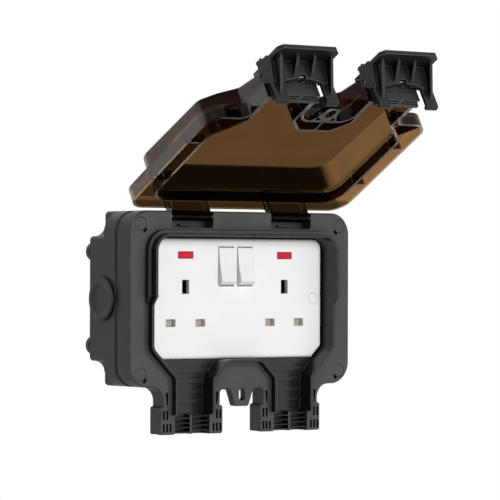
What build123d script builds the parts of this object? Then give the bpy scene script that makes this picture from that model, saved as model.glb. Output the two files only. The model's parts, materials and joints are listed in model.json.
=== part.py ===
from build123d import *
import os

# Outdoor weatherproof double switched socket, lid open and a latch on each lid tower.
# X runs to the right seen from the front, Z is up, the wall is the plane Y = 0 and the
# front faces -Y. "Depth" below means the distance from the wall towards the front.

# Enclosure
frame_width = 167.0
frame_height = 107.4
frame_corner = 13.5
frame_depth = 11.4
frame_edge = 0.9
gasket_thickness = 0.8
gasket_inset = 0.7
gasket_width = 1.4
box_depth = 33.4
box_wall = 2.6
box_flange_depth = 16.5
box_rear_edge = 1.4
notch_width = 11.2
notch_height = 15.4
notch_radius = 8.0
notch_corner = 2.8
seam_width = 4.4
seam_depth = 0.7

# Wall fixing
fixing_inset_x = 6.0
fixing_inset_z = 24.9
fixing_hole = 4.6
pad_diameter = 11.6
pad_height = 3.6

# Blanked conduit entries in the sides of the box
entry_hole = 20.4
entry_depth = 19.5
plug_flange = 26.0
plug_flange_height = 2.2
plug_rim = 0.7
plug_dish = 20.0
plug_dish_depth = 1.2
plug_dish_slope = 62.0
plug_wall = 2.0
plug_skirt = 6.0
plug_clearance = 0.1

# Socket opening with its two cable funnels
plate_margin_x = 16.3
plate_margin_z = 16.6
plate_recess = 7.2
plate_gap = 0.9
panel_gap = 0.3
funnel_inset = 29.7
funnel_width = 26.0
funnel_reach = 16.8
diagonal_start = 7.2
panel_drop = 11.4
opening_corner = 9.0
diagonal_corner = 5.0
funnel_corner = 6.0
rim_wall = 1.6
rim_low = 3.8
rim_step = 4.1
step_height = -1.0
step_run = 5.0
rim_notch_width = 8.0
rim_notch_depth = 1.0
bezel_gap = 0.1
seal_width = 2.2
seal_gap = 0.15
seal_depth = 2.2
seal_proud = 0.2
seal_step = 3.3
pocket_depth = 9.9
tray_floor = 2.0
tray_rib_count = 4
tray_rib_pitch = 6.2
tray_rib_start = 7.0
tray_rib_height = 1.1
tray_rib_length = 2.0

# Keeper towers below the frame and the padlock lug between them
tower_width = 46.6
tower_neck = 42.6
tower_shoulder_drop = 11.7
tower_drop = 29.0
tower_sweep = 8.5
tower_corner = 1.6
web_drop = 2.1
arch_radius = 2.4
lug_top_width = 18.0
lug_bottom_width = 10.8
lug_drop = 12.7
lug_corner = 2.0
lug_thickness = 5.0
lug_hole_width = 4.6
lug_hole_height = 7.6
lug_hole_drop = 5.5
slot_width = 1.5
slot_pitch = 2.5
slot_depth = 3.0
slot_outermost = 21.0
upper_slot_count = 2
upper_slot_height = 5.4
upper_slot_drop = 17.0
lower_slot_count = 3
lower_slot_height = 5.0
lower_slot_drop = 24.9
wedge_offset = 17.8
wedge_width = 2.0
wedge_tip = 0.9
wedge_start = 3.5
wedge_stop = 11.1
keeper_thickness = 4.0
keeper_reach = 3.2
keeper_gap = 0.5

# Cable seals in the tower mouths
comb_clearance = 0.2
comb_base = 2.0
comb_fin = 1.0
comb_fin_count = 4
comb_fin_pitch = 2.8
comb_recess = 1.2
comb_post = 2.4

# Frame screws under flush covers
screw_inset_x = 7.9
screw_inset_z = 8.1
screw_shank = 3.9
screw_hole = 4.0
screw_boss = 8.4
screw_head = 7.2
screw_head_height = 2.4
screw_engagement = 10.5
screw_hole_spare = 0.5
cover_diameter = 8.2
cover_thickness = 1.6
pry_length = 3.2
pry_width = 1.9
pry_depth = 2.6
pry_across = 3.1
pry_down = 4.0
cover_clearance = 0.1
head_recess = 4.6
pry_slot_length = 2.4
pry_slot_width = 1.2
pry_slot_depth = 1.2
pry_slot_offset_x = 3.4
pry_slot_offset_z = 4.2

# Lid hinge
hinge_below_top = 3.4
hinge_behind_face = 2.5
hinge_pin = 3.0
hinge_pin_hold = 4.5
hinge_running_gap = 0.05
pin_seat_gap = 0.02
hinge_barrel = 5.2
hinge_arm_width = 29.0
hinge_pocket_width = 31.2
hinge_pocket_height = 10.3
hinge_pocket_depth = 9.4
hinge_pocket_corner = 2.0
pocket_bar_length = 10.0
pocket_bar_height = 1.0
pocket_bar_reach = 2.4
pocket_bar_rise = 1.8
lid_open_angle = 120.0

# Lid
lid_inset_x = 1.1
lid_inset_z = 2.3
lid_corner = 12.0
lid_edge_gap = 3.9
lid_skirt_height = 8.8
lid_wall = 1.8
lid_ceiling = 2.0
lid_rim_clearance = 0.6
roof_hinge_height = 30.8
roof_bend_height = 28.4
roof_latch_height = 21.8
roof_bend_rise = 14.0
roof_bend_round = 30.0
lid_dome_edge = 2.2
lid_web = 1.4
lid_web_upper = 20.2
lid_web_lower = -22.0
lid_web_setback = 0.6
corner_web_inset_x = 10.2
corner_web_rise = 8.9
corner_web_length = 16.0
lid_notch_width = 17.0
lid_notch_depth = 4.0
lid_sweep = 6.0
tower_flange = 1.4
collar_length = 6.0
collar_proud = 1.6
arm_skin = 2.0
arm_cheek = 1.8

# Padlock eye of the lid
eye_sweep = 9.0
eye_root_width = 21.0
eye_neck_width = 12.6
eye_neck_drop = 2.6
eye_tip_width = 9.8
eye_drop = 10.9
eye_neck_round = 5.0
eye_tip_round = 3.2
eye_thickness = 3.4
eye_hole_width = 5.6
eye_hole_height = 8.0
eye_small_hole = 3.0
eye_small_spread = 11.2
eye_small_rise = 0.6

# Rubber combs on the lid's tower ends
flap_width = 32.6
flap_thickness = 2.0
flap_face_gap = 0.5
flap_top = 17.0
flap_lug_gap = 0.3
flap_comb_width = 26.4
flap_base = 2.0
flap_fin_height = 7.0
flap_fin_count = 3
flap_fin_pitch = 2.4

# Latches
latch_pin_ahead = 14.6
latch_pin_drop = 25.2
latch_pin = 2.6
latch_lug_width = 5.0
latch_lug_spread = 11.5
latch_lug_radius = 2.9
latch_width = 44.1
latch_cheek = 2.6
latch_cheek_rear = 2.3
latch_cheek_top = 2.9
latch_cheek_dip = 4.6
latch_cheek_low = 0.7
latch_cheek_front = 8.6
latch_cheek_round = 1.6
latch_tooth = 2.4
latch_tooth_ahead = 9.0
latch_tooth_first = -0.2
latch_tooth_pitch = 2.8
latch_tooth_turn = 20.0
latch_grip_rear = 4.6
latch_grip_front = 7.2
latch_grip_top = 8.0
latch_grip_end = 24.0
latch_grip_corner = 3.0
latch_base_front = 6.5
latch_base_rear = 8.1
latch_base_low = 9.6
latch_base_high = 5.6
latch_base_thickness = 2.6
latch_foot_width = 8.3
latch_arm_top = 5.3
latch_arm_thickness = 2.2
latch_foot_rear = 21.2
latch_foot_round = 1.8
latch_lip = 2.1
latch_lip_top = 4.2
latch_rib = 1.6
latch_rib_pitch = 12.3
latch_rib_tip = 3.4
latch_rib_low = 18.6
latch_rib_rear = 15.5
latch_rib_rise = 8.2
latch_rib_sink = 1.0
latch_arch_width = 30.0
latch_arch_rise = 2.4
latch_arch_notch = 5.0

# Socket module
plate_corner = 6.0
plate_chamfer = 7.3
plate_thickness = 6.0
plate_skin = 3.0
plate_skirt = 2.4
plate_edge = 2.4
outlet_inset = 29.5
pin_spread = 22.2
pin_rise = 22.2
earth_below_top = 29.8
pin_slot_width = 7.2
pin_slot_height = 4.6
earth_slot_width = 5.2
earth_slot_height = 8.6
rocker_width = 11.2
rocker_pitch = 14.3
rocker_below_top = 17.2
rocker_radius = 12.2
rocker_tilt = 10.5
rocker_proud = 2.3
rocker_dish = 0.7
rocker_back = 1.6
rocker_hub = 2.4
rocker_side_gap = 0.3
rocker_window = 24.6
rocker_relief_depth = 1.4
rocker_relief_width = 36.0
rocker_relief_height = 28.0
pivot_depth = 4.0
pivot_diameter = 2.4
pivot_length = 33.0
pivot_gap = 0.06
pivot_post_width = 2.4
pivot_post_height = 6.0
pivot_post_top = 0.2
neon_width = 11.4
neon_height = 4.4
neon_below_top = 10.3
neon_gap = 0.45
neon_proud = 0.25
neon_flange = 0.8
neon_flange_thickness = 1.2
module_screw_inset = 6.9
module_screw_shank = 3.4
module_screw_hole = 3.5
module_screw_head = 6.2
module_screw_head_height = 1.6
module_screw_length = 20.0
module_cap = 7.2
module_cap_thickness = 1.2
module_cap_gap = 0.08
pillar_diameter = 8.0
body_inset_x = 11.2
body_gap = 0.3
body_depth = 24.0
body_wall = 1.8
body_floor = 2.2

# Shutters and contacts inside the module
shutter_width = 31.4
shutter_height = 8.2
shutter_thickness = 1.5
shutter_gap = 0.3
shutter_arm_width = 7.0
shutter_arm_top = 2.2
shutter_rail_gap = 0.35
shutter_rail_width = 1.6
shutter_lip = 1.2
shutter_lip_thickness = 0.8
shutter_lip_gap = 0.3
contact_strip = 0.8
contact_gap = 4.2
contact_width = 6.0
contact_reach = 14.0
bar_thickness = 1.2
bar_width = 4.0
neutral_inset = 11.4
live_inset = 7.0
terminal_size = 8.0
terminal_pitch = 12.0
terminal_screw = 3.0
terminal_screw_length = 7.0
terminal_head = 5.0
terminal_head_height = 1.6
terminal_gap = 0.2

# Depths from the wall that several pieces share
box_back = pad_height
box_floor = box_back + box_wall
box_front = box_back + box_depth
flange_back = box_front - box_flange_depth
frame_back = box_front + gasket_thickness
frame_face = frame_back + frame_depth
plate_front = frame_face - plate_recess
plate_back = plate_front - plate_thickness
skin_back = plate_front - plate_skin
pocket_floor = frame_face - pocket_depth
seal_seat = frame_face - seal_depth
seal_low = frame_face + seal_proud
seal_high = seal_low + seal_step
rim_low_top = frame_face + rim_low
rim_high_top = rim_low_top + rim_step
head_seat = frame_face - head_recess
pivot_at = plate_front - pivot_depth
body_back = skin_back - body_depth
body_inside = body_back + body_floor
shutter_front = skin_back - shutter_gap
shutter_back = shutter_front - shutter_thickness
bar_back = body_inside
module_head_seat = plate_front - module_cap_thickness - module_screw_head_height

# Growth of each band round the opening, measured from the inner face of the rim
seal_inner = rim_wall + seal_gap
seal_outer = seal_inner + seal_width
frame_ring = seal_outer + seal_gap
lid_inner = rim_wall + lid_rim_clearance
lid_outer = lid_inner + lid_wall

# Lid planes in the closed position
lid_edge = frame_face + lid_edge_gap
shoulder = lid_edge + lid_skirt_height
roof_hinge = frame_face + roof_hinge_height
roof_bend = frame_face + roof_bend_height
roof_latch = frame_face + roof_latch_height

# Places across and up the front
half_width = frame_width / 2
half_height = frame_height / 2
plate_width = frame_width - 2 * plate_margin_x
plate_height = frame_height - 2 * plate_margin_z
plate_top = plate_height / 2
opening_half = plate_width / 2 + plate_gap
opening_top = plate_top + plate_gap
opening_bottom = -plate_top - panel_gap
socket_x = plate_width / 2 - funnel_inset
outlet_x = plate_width / 2 - outlet_inset
outlet_pitch = 2 * outlet_x
funnel_out = socket_x + funnel_width / 2
funnel_in = socket_x - funnel_width / 2
funnel_end = -half_height - funnel_reach
fixing_span_x = frame_width - 2 * fixing_inset_x
fixing_span_z = frame_height - 2 * fixing_inset_z
screw_span_x = frame_width - 2 * screw_inset_x
screw_span_z = frame_height - 2 * screw_inset_z
tower_shoulder = -half_height - tower_shoulder_drop
tower_end = -half_height - tower_drop
web_bottom = -half_height - web_drop
lug_end = -half_height - lug_drop
lug_hole_centre = -half_height - lug_hole_drop
hinge_z = half_height - hinge_below_top
hinge_depth = frame_face - hinge_behind_face
pocket_sill = half_height - hinge_pocket_height
earth_row = plate_top - earth_below_top
pin_row = earth_row - pin_rise
rocker_row = plate_top - rocker_below_top
neon_row = plate_top - neon_below_top
module_screw_span = plate_width - 2 * module_screw_inset
body_width = plate_width - 2 * body_inset_x
body_height = plate_height - 2 * plate_skirt - 2 * body_gap
neutral_row = -body_height / 2 + neutral_inset
live_row = body_height / 2 - live_inset
lid_half = half_width - lid_inset_x
lid_top = half_height - lid_inset_z
lid_bottom = -half_height + lid_inset_z
lid_end = funnel_end - lid_outer
tower_half = funnel_width / 2 + lid_outer + tower_flange
latch_pin_depth = frame_face + latch_pin_ahead
latch_pin_height = -half_height - latch_pin_drop
sides = ((-1, "left"), (1, "right"))

# The lid and all that hangs on it turns about this line
hinge_axis = Axis((0, -hinge_depth, hinge_z), (-1, 0, 0))

os.makedirs("parts", exist_ok=True)


def front(depth):
    """Sketch plane facing the front at a depth from the wall; x is X and y is Z."""
    return Plane.XZ.offset(depth)


def side(x):
    """Sketch plane across X; x is the depth from the wall and y is Z."""
    return Plane(origin=(x, 0, 0), x_dir=(0, -1, 0), z_dir=(-1, 0, 0))


def opening(depth, grow, open_end=False):
    """Face of the socket opening with its funnels, grown outwards.

    With open_end the funnels stop square at their mouths.
    """
    with BuildSketch(front(depth)) as face:
        with BuildLine():
            Polyline(
                (0, opening_top),
                (opening_half, opening_top),
                (opening_half, opening_bottom + diagonal_start),
                (funnel_out, opening_bottom + diagonal_start - opening_half + funnel_out),
                (funnel_out, funnel_end),
                (funnel_in, funnel_end),
                (funnel_in, opening_bottom - panel_drop),
                (funnel_in - panel_drop, opening_bottom),
                (0, opening_bottom),
            )
            mirror(about=Plane.YZ)
        make_face()
        fillet(face.vertices().group_by(Axis.Y)[-1], opening_corner)
        outer = face.vertices().filter_by(lambda v: abs(v.X) > opening_half - 0.01 and v.Y < 0)
        fillet(outer, diagonal_corner)
        bends = face.vertices().filter_by(
            lambda v: funnel_end + 1 < v.Y < opening_bottom + 1 and abs(v.X) < funnel_out + 0.01
        )
        fillet(bends.filter_by(lambda v: abs(v.X) > 1), funnel_corner)
        if grow:
            offset(amount=grow, mode=Mode.REPLACE)
        if open_end:
            with Locations((0, funnel_end - frame_height)):
                Rectangle(2 * frame_width, 2 * frame_height, mode=Mode.SUBTRACT)
    return face.sketch


def band(depth, inner, outer):
    """Face of a band that follows the opening between two growths, open at the mouths."""
    with BuildSketch(front(depth)) as face:
        add(opening(depth, outer, open_end=True))
        add(opening(depth, inner, open_end=True), mode=Mode.SUBTRACT)
    return face.sketch


def above_step(low, high):
    """Side face of all that lies in front of an edge that steps forward in its upper half."""
    reach = 2 * frame_height
    with BuildSketch(side(0)) as face:
        with BuildLine():
            Polyline(
                (low, -reach),
                (low, step_height - step_run / 2),
                (high, step_height + step_run / 2),
                (high, reach),
                (high + reach, reach),
                (high + reach, -reach),
                close=True,
            )
        make_face()
    return face.sketch


def enclosure_outline(depth, inset):
    """Rounded rectangle shared by the frame, the gasket and the box."""
    with BuildSketch(front(depth)) as face:
        RectangleRounded(frame_width - 2 * inset, frame_height - 2 * inset, frame_corner - inset)
    return face.sketch


def box_cross(depth, inset):
    """Rear outline of the box with a rounded notch in each corner."""
    across = half_width - notch_width - inset
    up = half_height - notch_height - inset
    with BuildSketch(front(depth)) as face:
        Rectangle(frame_width - 2 * inset, 2 * up)
        Rectangle(2 * across, frame_height - 2 * inset)
        near = face.vertices().filter_by(
            lambda v: abs(abs(v.X) - across) < 0.01 and abs(abs(v.Y) - up) < 0.01
        )
        fillet(near, notch_radius)
        ends = face.vertices().filter_by(
            lambda v: abs(v.X) > half_width - inset - 0.01 or abs(v.Y) > half_height - inset - 0.01
        )
        fillet(ends, notch_corner)
    return face.sketch


def frame_outline(depth):
    """Rounded rectangle with two keeper towers, the web between them and the padlock lug."""
    with BuildSketch(front(depth)) as face:
        RectangleRounded(frame_width, frame_height, frame_corner)
        for s, _ in sides:
            with Locations((s * socket_x, tower_shoulder / 2)):
                Rectangle(tower_neck, -tower_shoulder)
            with Locations((s * socket_x, (tower_shoulder + tower_end) / 2)):
                Rectangle(tower_width, tower_shoulder - tower_end)
        with Locations((0, web_bottom / 2)):
            Rectangle(2 * socket_x, -web_bottom)
        with BuildLine():
            Polyline(
                (lug_top_width / 2, web_bottom),
                (lug_bottom_width / 2, lug_end),
                (-lug_bottom_width / 2, lug_end),
                (-lug_top_width / 2, web_bottom),
                close=True,
            )
        make_face()
        neck_out = socket_x + tower_neck / 2
        sweep = face.vertices().filter_by(
            lambda v: abs(abs(v.X) - neck_out) < 0.01 and abs(v.Y + half_height) < 0.01
        )
        fillet(sweep, tower_sweep)
        arch = face.vertices().filter_by(lambda v: abs(v.Y - web_bottom) < 0.01)
        fillet(arch, arch_radius)
        tip = face.vertices().filter_by(lambda v: abs(v.Y - lug_end) < 0.01)
        fillet(tip, lug_corner)
        corner = face.vertices().filter_by(
            lambda v: abs(v.Y - tower_end) < 0.01
            or abs(v.Y - tower_shoulder) < 0.01 and abs(abs(v.X) - socket_x) > tower_neck / 2 + 0.01
        )
        fillet(corner, tower_corner)
    return face.sketch


def lid_outline(depth, inset):
    """Outline of the lid rim with its two towers, drawn in by an inset."""
    with BuildSketch(front(depth)) as face:
        RectangleRounded(2 * lid_half, lid_top - lid_bottom, lid_corner)
        for s, _ in sides:
            with Locations((s * socket_x, lid_end / 2)):
                Rectangle(2 * tower_half, -lid_end)
        fillet(face.vertices().group_by(Axis.Y)[0], lid_outer)
        feet = face.vertices().filter_by(lambda v: abs(v.Y - lid_bottom) < 0.01)
        fillet(feet.filter_by(lambda v: abs(v.X) < socket_x), eye_sweep)
        feet = face.vertices().filter_by(lambda v: abs(v.Y - lid_bottom) < 0.01)
        fillet(feet.filter_by(lambda v: abs(abs(v.X) - socket_x - tower_half) < 0.01), lid_sweep)
        if inset:
            offset(amount=-inset, mode=Mode.REPLACE)
    return face.sketch


def under_roof(drop):
    """Side face of all that lies behind the lid's sloping roof, lowered by a drop."""
    above = opening_top + lid_outer
    bend = -half_height + roof_bend_rise
    with BuildSketch(side(0)) as face:
        with BuildLine():
            Polyline(
                (0, above + frame_height),
                (roof_hinge - drop, above + frame_height),
                (roof_hinge - drop, above),
                (roof_bend - drop, bend),
                (roof_latch - drop, lid_end),
                (roof_latch - drop, lid_end - frame_height),
                (0, lid_end - frame_height),
                close=True,
            )
        make_face()
        ridge = face.vertices().filter_by(lambda v: abs(v.Y - bend) < 0.01)
        fillet(ridge, roof_bend_round)
    return face.sketch


def eye_outline(depth):
    """Face of the padlock eye: a lobe with rounded sides, one oval and two small holes."""
    root = lid_bottom + lid_wall / 2
    neck = -half_height - eye_neck_drop
    tip = -half_height - eye_drop
    with BuildSketch(front(depth)) as face:
        with BuildLine():
            Polyline(
                (0, root),
                (eye_root_width / 2, root),
                (eye_neck_width / 2, neck),
                (eye_tip_width / 2, tip),
                (0, tip),
            )
            mirror(about=Plane.YZ)
        make_face()
        fillet(face.vertices().filter_by(lambda v: abs(v.Y - neck) < 0.01), eye_neck_round)
        tips = face.vertices().filter_by(lambda v: abs(v.Y - tip) < 0.01 and abs(v.X) > 1)
        fillet(tips, eye_tip_round)
        with Locations((0, lug_hole_centre)):
            SlotOverall(eye_hole_height, eye_hole_width, rotation=90, mode=Mode.SUBTRACT)
        with Locations((0, -half_height + eye_small_rise)):
            with GridLocations(eye_small_spread, 0, 2, 1):
                Circle(eye_small_hole / 2, mode=Mode.SUBTRACT)
    return face.sketch


def oval(depth, centre):
    """Face of the padlock hole in the frame's lug."""
    with BuildSketch(front(depth)) as face:
        with Locations((0, centre)):
            SlotOverall(lug_hole_height, lug_hole_width, rotation=90)
    return face.sketch


def plate_outline(depth, inset):
    """Outline of the socket plate: rounded at the top, slanted at the lower corners."""
    with BuildSketch(front(depth)) as face:
        Rectangle(plate_width, plate_height)
        fillet(face.vertices().group_by(Axis.Y)[-1], plate_corner)
        low = face.vertices().group_by(Axis.Y)[0]
        chamfer(low, plate_chamfer)
        if inset:
            offset(amount=-inset, mode=Mode.REPLACE)
    return face.sketch


def contact(x, z, upright):
    """U-shaped spring contact for one pin, standing on the bars."""
    with BuildPart() as clip:
        turn = 90 if upright else 0
        with BuildSketch(front(bar_back)):
            with Locations(Location((x, z), turn)):
                Rectangle(contact_width, contact_gap + 2 * contact_strip)
        extrude(amount=contact_reach)
        with BuildSketch(front(bar_back + bar_thickness)):
            with Locations(Location((x, z), turn)):
                Rectangle(contact_width + 1, contact_gap)
        extrude(amount=contact_reach, mode=Mode.SUBTRACT)
    return clip.part


def terminal(x, z):
    """Brass block with a threaded hole towards the rear."""
    with BuildPart() as block:
        with BuildSketch(front(bar_back)):
            with Locations((x, z)):
                Rectangle(terminal_size, terminal_size)
                Circle(terminal_screw / 2 + pin_seat_gap, mode=Mode.SUBTRACT)
        extrude(amount=terminal_size)
    return block.part


def strip(x0, x1, z0, z1):
    """Flat bar on the floor of the module."""
    with BuildPart() as bar:
        with BuildSketch(front(bar_back)):
            with Locations(((x0 + x1) / 2, (z0 + z1) / 2)):
                Rectangle(abs(x1 - x0) + bar_width, abs(z1 - z0) + bar_width)
        extrude(amount=bar_thickness)
    return bar.part


def write(piece, name):
    """Name a finished piece and write it."""
    piece.label = name
    export_step(piece, "parts/" + name + ".step")


# Back box: full outline in front, notched corners behind, four pads on the wall
with BuildPart() as back_box:
    extrude(box_cross(box_back, 0), amount=box_depth)
    chamfer(back_box.faces().sort_by(Axis.Y)[-1].edges(), box_rear_edge)
    extrude(enclosure_outline(flange_back, 0), amount=box_flange_depth)
    extrude(box_cross(box_floor, box_wall), amount=box_depth, mode=Mode.SUBTRACT)
    extrude(
        enclosure_outline(flange_back + box_wall, box_wall),
        amount=box_flange_depth,
        mode=Mode.SUBTRACT,
    )
    with BuildSketch(front(flange_back)):
        with GridLocations(screw_span_x, screw_span_z, 2, 2):
            Circle(screw_boss / 2)
    extrude(amount=box_flange_depth)
    with BuildSketch(front(box_front)):
        with GridLocations(screw_span_x, screw_span_z, 2, 2):
            Circle(screw_hole / 2)
    extrude(amount=-screw_engagement - screw_hole_spare, mode=Mode.SUBTRACT)
    with BuildSketch(front(box_floor)):
        with GridLocations(module_screw_span, 0, 2, 1):
            Circle(pillar_diameter / 2)
    extrude(amount=plate_back - box_floor)
    with BuildSketch(front(plate_back)):
        with GridLocations(module_screw_span, 0, 2, 1):
            Circle(module_screw_hole / 2)
    extrude(amount=-module_screw_length, mode=Mode.SUBTRACT)
    with BuildSketch(front(box_front - seam_width)):
        add(enclosure_outline(0, 0))
        add(enclosure_outline(0, seam_depth), mode=Mode.SUBTRACT)
    extrude(amount=seam_width, mode=Mode.SUBTRACT)
    with BuildSketch(front(0)):
        with GridLocations(fixing_span_x, fixing_span_z, 2, 2):
            Circle(pad_diameter / 2)
    extrude(amount=pad_height)
    with BuildSketch(front(0)):
        with GridLocations(fixing_span_x, fixing_span_z, 2, 2):
            Circle(fixing_hole / 2)
    extrude(amount=box_floor, mode=Mode.SUBTRACT)
    for s, _ in sides:
        with BuildSketch(side(s * half_width)):
            with Locations((entry_depth, 0)):
                Circle(entry_hole / 2)
        extrude(amount=2 * box_wall, both=True, mode=Mode.SUBTRACT)
write(back_box.part, "back_box")

# Blanking plugs in the two side entries
for s, hand in sides:
    with BuildPart() as side_plug:
        with BuildSketch(side(s * half_width)):
            with Locations((entry_depth, 0)):
                Circle(plug_flange / 2)
        extrude(amount=-s * plug_flange_height)
        rim = side_plug.faces().sort_by(Axis.X)[-1 if s > 0 else 0].edges()
        chamfer(rim, plug_rim)
        with BuildSketch(side(s * half_width)):
            with Locations((entry_depth, 0)):
                Circle(entry_hole / 2 - plug_clearance)
        extrude(amount=s * plug_skirt)
        with BuildSketch(side(s * half_width)):
            with Locations((entry_depth, 0)):
                Circle(entry_hole / 2 - plug_clearance - plug_wall)
        extrude(amount=s * plug_skirt, mode=Mode.SUBTRACT)
        with BuildSketch(side(s * (half_width + plug_flange_height))):
            with Locations((entry_depth, 0)):
                Circle(plug_dish / 2)
        extrude(amount=s * plug_dish_depth, taper=plug_dish_slope, mode=Mode.SUBTRACT)
    write(side_plug.part, "side_plug_" + hand)

# Gasket between the box and the frame
with BuildPart() as box_gasket:
    with BuildSketch(front(box_front)):
        add(enclosure_outline(0, gasket_inset))
        add(enclosure_outline(0, gasket_inset + gasket_width), mode=Mode.SUBTRACT)
    extrude(amount=gasket_thickness)
write(box_gasket.part, "box_gasket")

# Front frame with the seal groove, hinge pockets, keeper towers and padlock lug
with BuildPart() as front_frame:
    extrude(frame_outline(frame_back), amount=frame_depth)
    chamfer(front_frame.faces().sort_by(Axis.Y)[0].outer_wire().edges(), frame_edge)
    extrude(
        opening(pocket_floor, rim_wall + bezel_gap, open_end=True),
        amount=pocket_depth,
        mode=Mode.SUBTRACT,
    )
    extrude(opening(seal_seat, frame_ring, open_end=True), amount=seal_depth, mode=Mode.SUBTRACT)
    with BuildSketch(front(frame_back)):
        add(opening(0, 0))
        with Locations((0, opening_bottom - frame_height / 2)):
            Rectangle(frame_width, frame_height, mode=Mode.SUBTRACT)
    extrude(amount=frame_depth, mode=Mode.SUBTRACT)
    with BuildSketch(front(pocket_floor)):
        with Locations((-socket_x, funnel_end - frame_height / 2)):
            Rectangle(funnel_width, frame_height)
        mirror(about=Plane.YZ)
    extrude(amount=pocket_depth, mode=Mode.SUBTRACT)
    with BuildSketch(front(frame_back)):
        with Locations((0, (web_bottom + lug_end) / 2)):
            Rectangle(lug_top_width + 2 * arch_radius, web_bottom - lug_end)
    extrude(amount=frame_depth - lug_thickness, mode=Mode.SUBTRACT)
    extrude(oval(frame_back, lug_hole_centre), amount=frame_depth, mode=Mode.SUBTRACT)
    for s, _ in sides:
        for t, _ in sides:
            with BuildSketch(front(frame_face - slot_depth)):
                for i in range(upper_slot_count):
                    slot_x = s * socket_x + t * (slot_outermost - i * slot_pitch)
                    with Locations((slot_x, -half_height - upper_slot_drop)):
                        Rectangle(slot_width, upper_slot_height)
                for i in range(lower_slot_count):
                    slot_x = s * socket_x + t * (slot_outermost - i * slot_pitch)
                    with Locations((slot_x, -half_height - lower_slot_drop)):
                        Rectangle(slot_width, lower_slot_height)
                inner_x = s * socket_x + t * wedge_offset
                with BuildLine():
                    Polyline(
                        (inner_x, -half_height - wedge_start),
                        (inner_x + t * wedge_width, -half_height - wedge_start),
                        (inner_x + t * wedge_tip, -half_height - wedge_stop),
                        (inner_x, -half_height - wedge_stop),
                        close=True,
                    )
                make_face()
            extrude(amount=slot_depth, mode=Mode.SUBTRACT)
            keeper_x = s * socket_x + t * (latch_width - latch_foot_width) / 2
            with BuildSketch(front(frame_back)):
                with Locations((keeper_x, tower_end)):
                    Rectangle(latch_foot_width + 2 * keeper_gap, 2 * keeper_reach)
            extrude(amount=frame_depth - keeper_thickness, mode=Mode.SUBTRACT)
    with BuildSketch(front(frame_face - pry_depth)):
        for s, _ in sides:
            for t, _ in sides:
                pry_x = s * (screw_span_x / 2 - pry_across)
                with Locations((pry_x, t * screw_span_z / 2 - pry_down)):
                    Rectangle(pry_length, pry_width, rotation=-s * 45)
    extrude(amount=pry_depth, mode=Mode.SUBTRACT)
    with BuildSketch(front(frame_face - hinge_pocket_depth)) as pocket:
        for s, _ in sides:
            with Locations((s * socket_x, pocket_sill + hinge_pocket_height)):
                Rectangle(hinge_pocket_width, 2 * hinge_pocket_height)
        fillet(pocket.vertices().group_by(Axis.Y)[0], hinge_pocket_corner)
    extrude(amount=hinge_pocket_depth, mode=Mode.SUBTRACT)
    with BuildSketch(front(frame_face - hinge_pocket_depth)):
        for s, _ in sides:
            with Locations((s * socket_x, pocket_sill + pocket_bar_rise)):
                Rectangle(pocket_bar_length, pocket_bar_height)
    extrude(amount=pocket_bar_reach)
    for s, _ in sides:
        with BuildSketch(side(s * socket_x)):
            with Locations((hinge_depth, hinge_z)):
                Circle(hinge_pin / 2 + pin_seat_gap)
        extrude(amount=hinge_pocket_width / 2 + hinge_pin_hold, both=True, mode=Mode.SUBTRACT)
    with BuildSketch(front(head_seat)):
        with GridLocations(screw_span_x, screw_span_z, 2, 2):
            Circle(cover_diameter / 2 + cover_clearance)
    extrude(amount=head_recess, mode=Mode.SUBTRACT)
    with BuildSketch(front(frame_back)):
        with GridLocations(screw_span_x, screw_span_z, 2, 2):
            Circle(screw_hole / 2)
    extrude(amount=frame_depth, mode=Mode.SUBTRACT)
    with BuildSketch(front(frame_face - pry_slot_depth)):
        for s, _ in sides:
            for t, _ in sides:
                slot_x = s * (screw_span_x / 2 - pry_slot_offset_x)
                with Locations((slot_x, t * screw_span_z / 2 - pry_slot_offset_z)):
                    Rectangle(pry_slot_length, pry_slot_width, rotation=-45 * s)
    extrude(amount=pry_slot_depth, mode=Mode.SUBTRACT)
write(front_frame.part, "front_frame")

# Glossy inner bezel: thin stepped rim, and a ribbed tray in each funnel
with BuildPart() as inner_bezel:
    extrude(band(pocket_floor, 0, rim_wall), amount=rim_high_top - pocket_floor)
    extrude(
        above_step(rim_low_top, rim_high_top), amount=frame_width, both=True, mode=Mode.SUBTRACT
    )
    with BuildSketch(front(rim_high_top - rim_notch_depth)):
        with Locations((0, opening_top)):
            Rectangle(rim_notch_width, 4 * rim_wall)
    extrude(amount=rim_notch_depth, mode=Mode.SUBTRACT)
    with BuildSketch(front(pocket_floor)):
        add(opening(0, rim_wall / 2, open_end=True))
        with Locations((0, opening_bottom + frame_height / 2)):
            Rectangle(frame_width, frame_height, mode=Mode.SUBTRACT)
        with Locations((0, opening_bottom - rim_wall / 2)):
            Rectangle(4 * rim_wall, rim_wall)
    extrude(amount=tray_floor)
    with BuildSketch(front(pocket_floor)):
        for i in range(tray_rib_count):
            with Locations((0, opening_bottom - tray_rib_start - i * tray_rib_pitch)):
                Rectangle(frame_width, tray_rib_length)
        add(opening(0, rim_wall / 2), mode=Mode.INTERSECT)
    extrude(amount=tray_floor + tray_rib_height)
write(inner_bezel.part, "inner_bezel")

# Rubber seal in the groove: a long strip round the outside, a short one round the panel
with BuildPart() as seal_strips:
    extrude(band(seal_seat, seal_inner, seal_outer), amount=seal_high - seal_seat)
    extrude(above_step(seal_low, seal_high), amount=frame_width, both=True, mode=Mode.SUBTRACT)
with BuildPart() as lid_seal:
    add(seal_strips.solids().sort_by(SortBy.VOLUME)[-1])
write(lid_seal.part, "lid_seal")
with BuildPart() as panel_seal:
    add(seal_strips.solids().sort_by(SortBy.VOLUME)[0])
write(panel_seal.part, "panel_seal")

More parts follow.
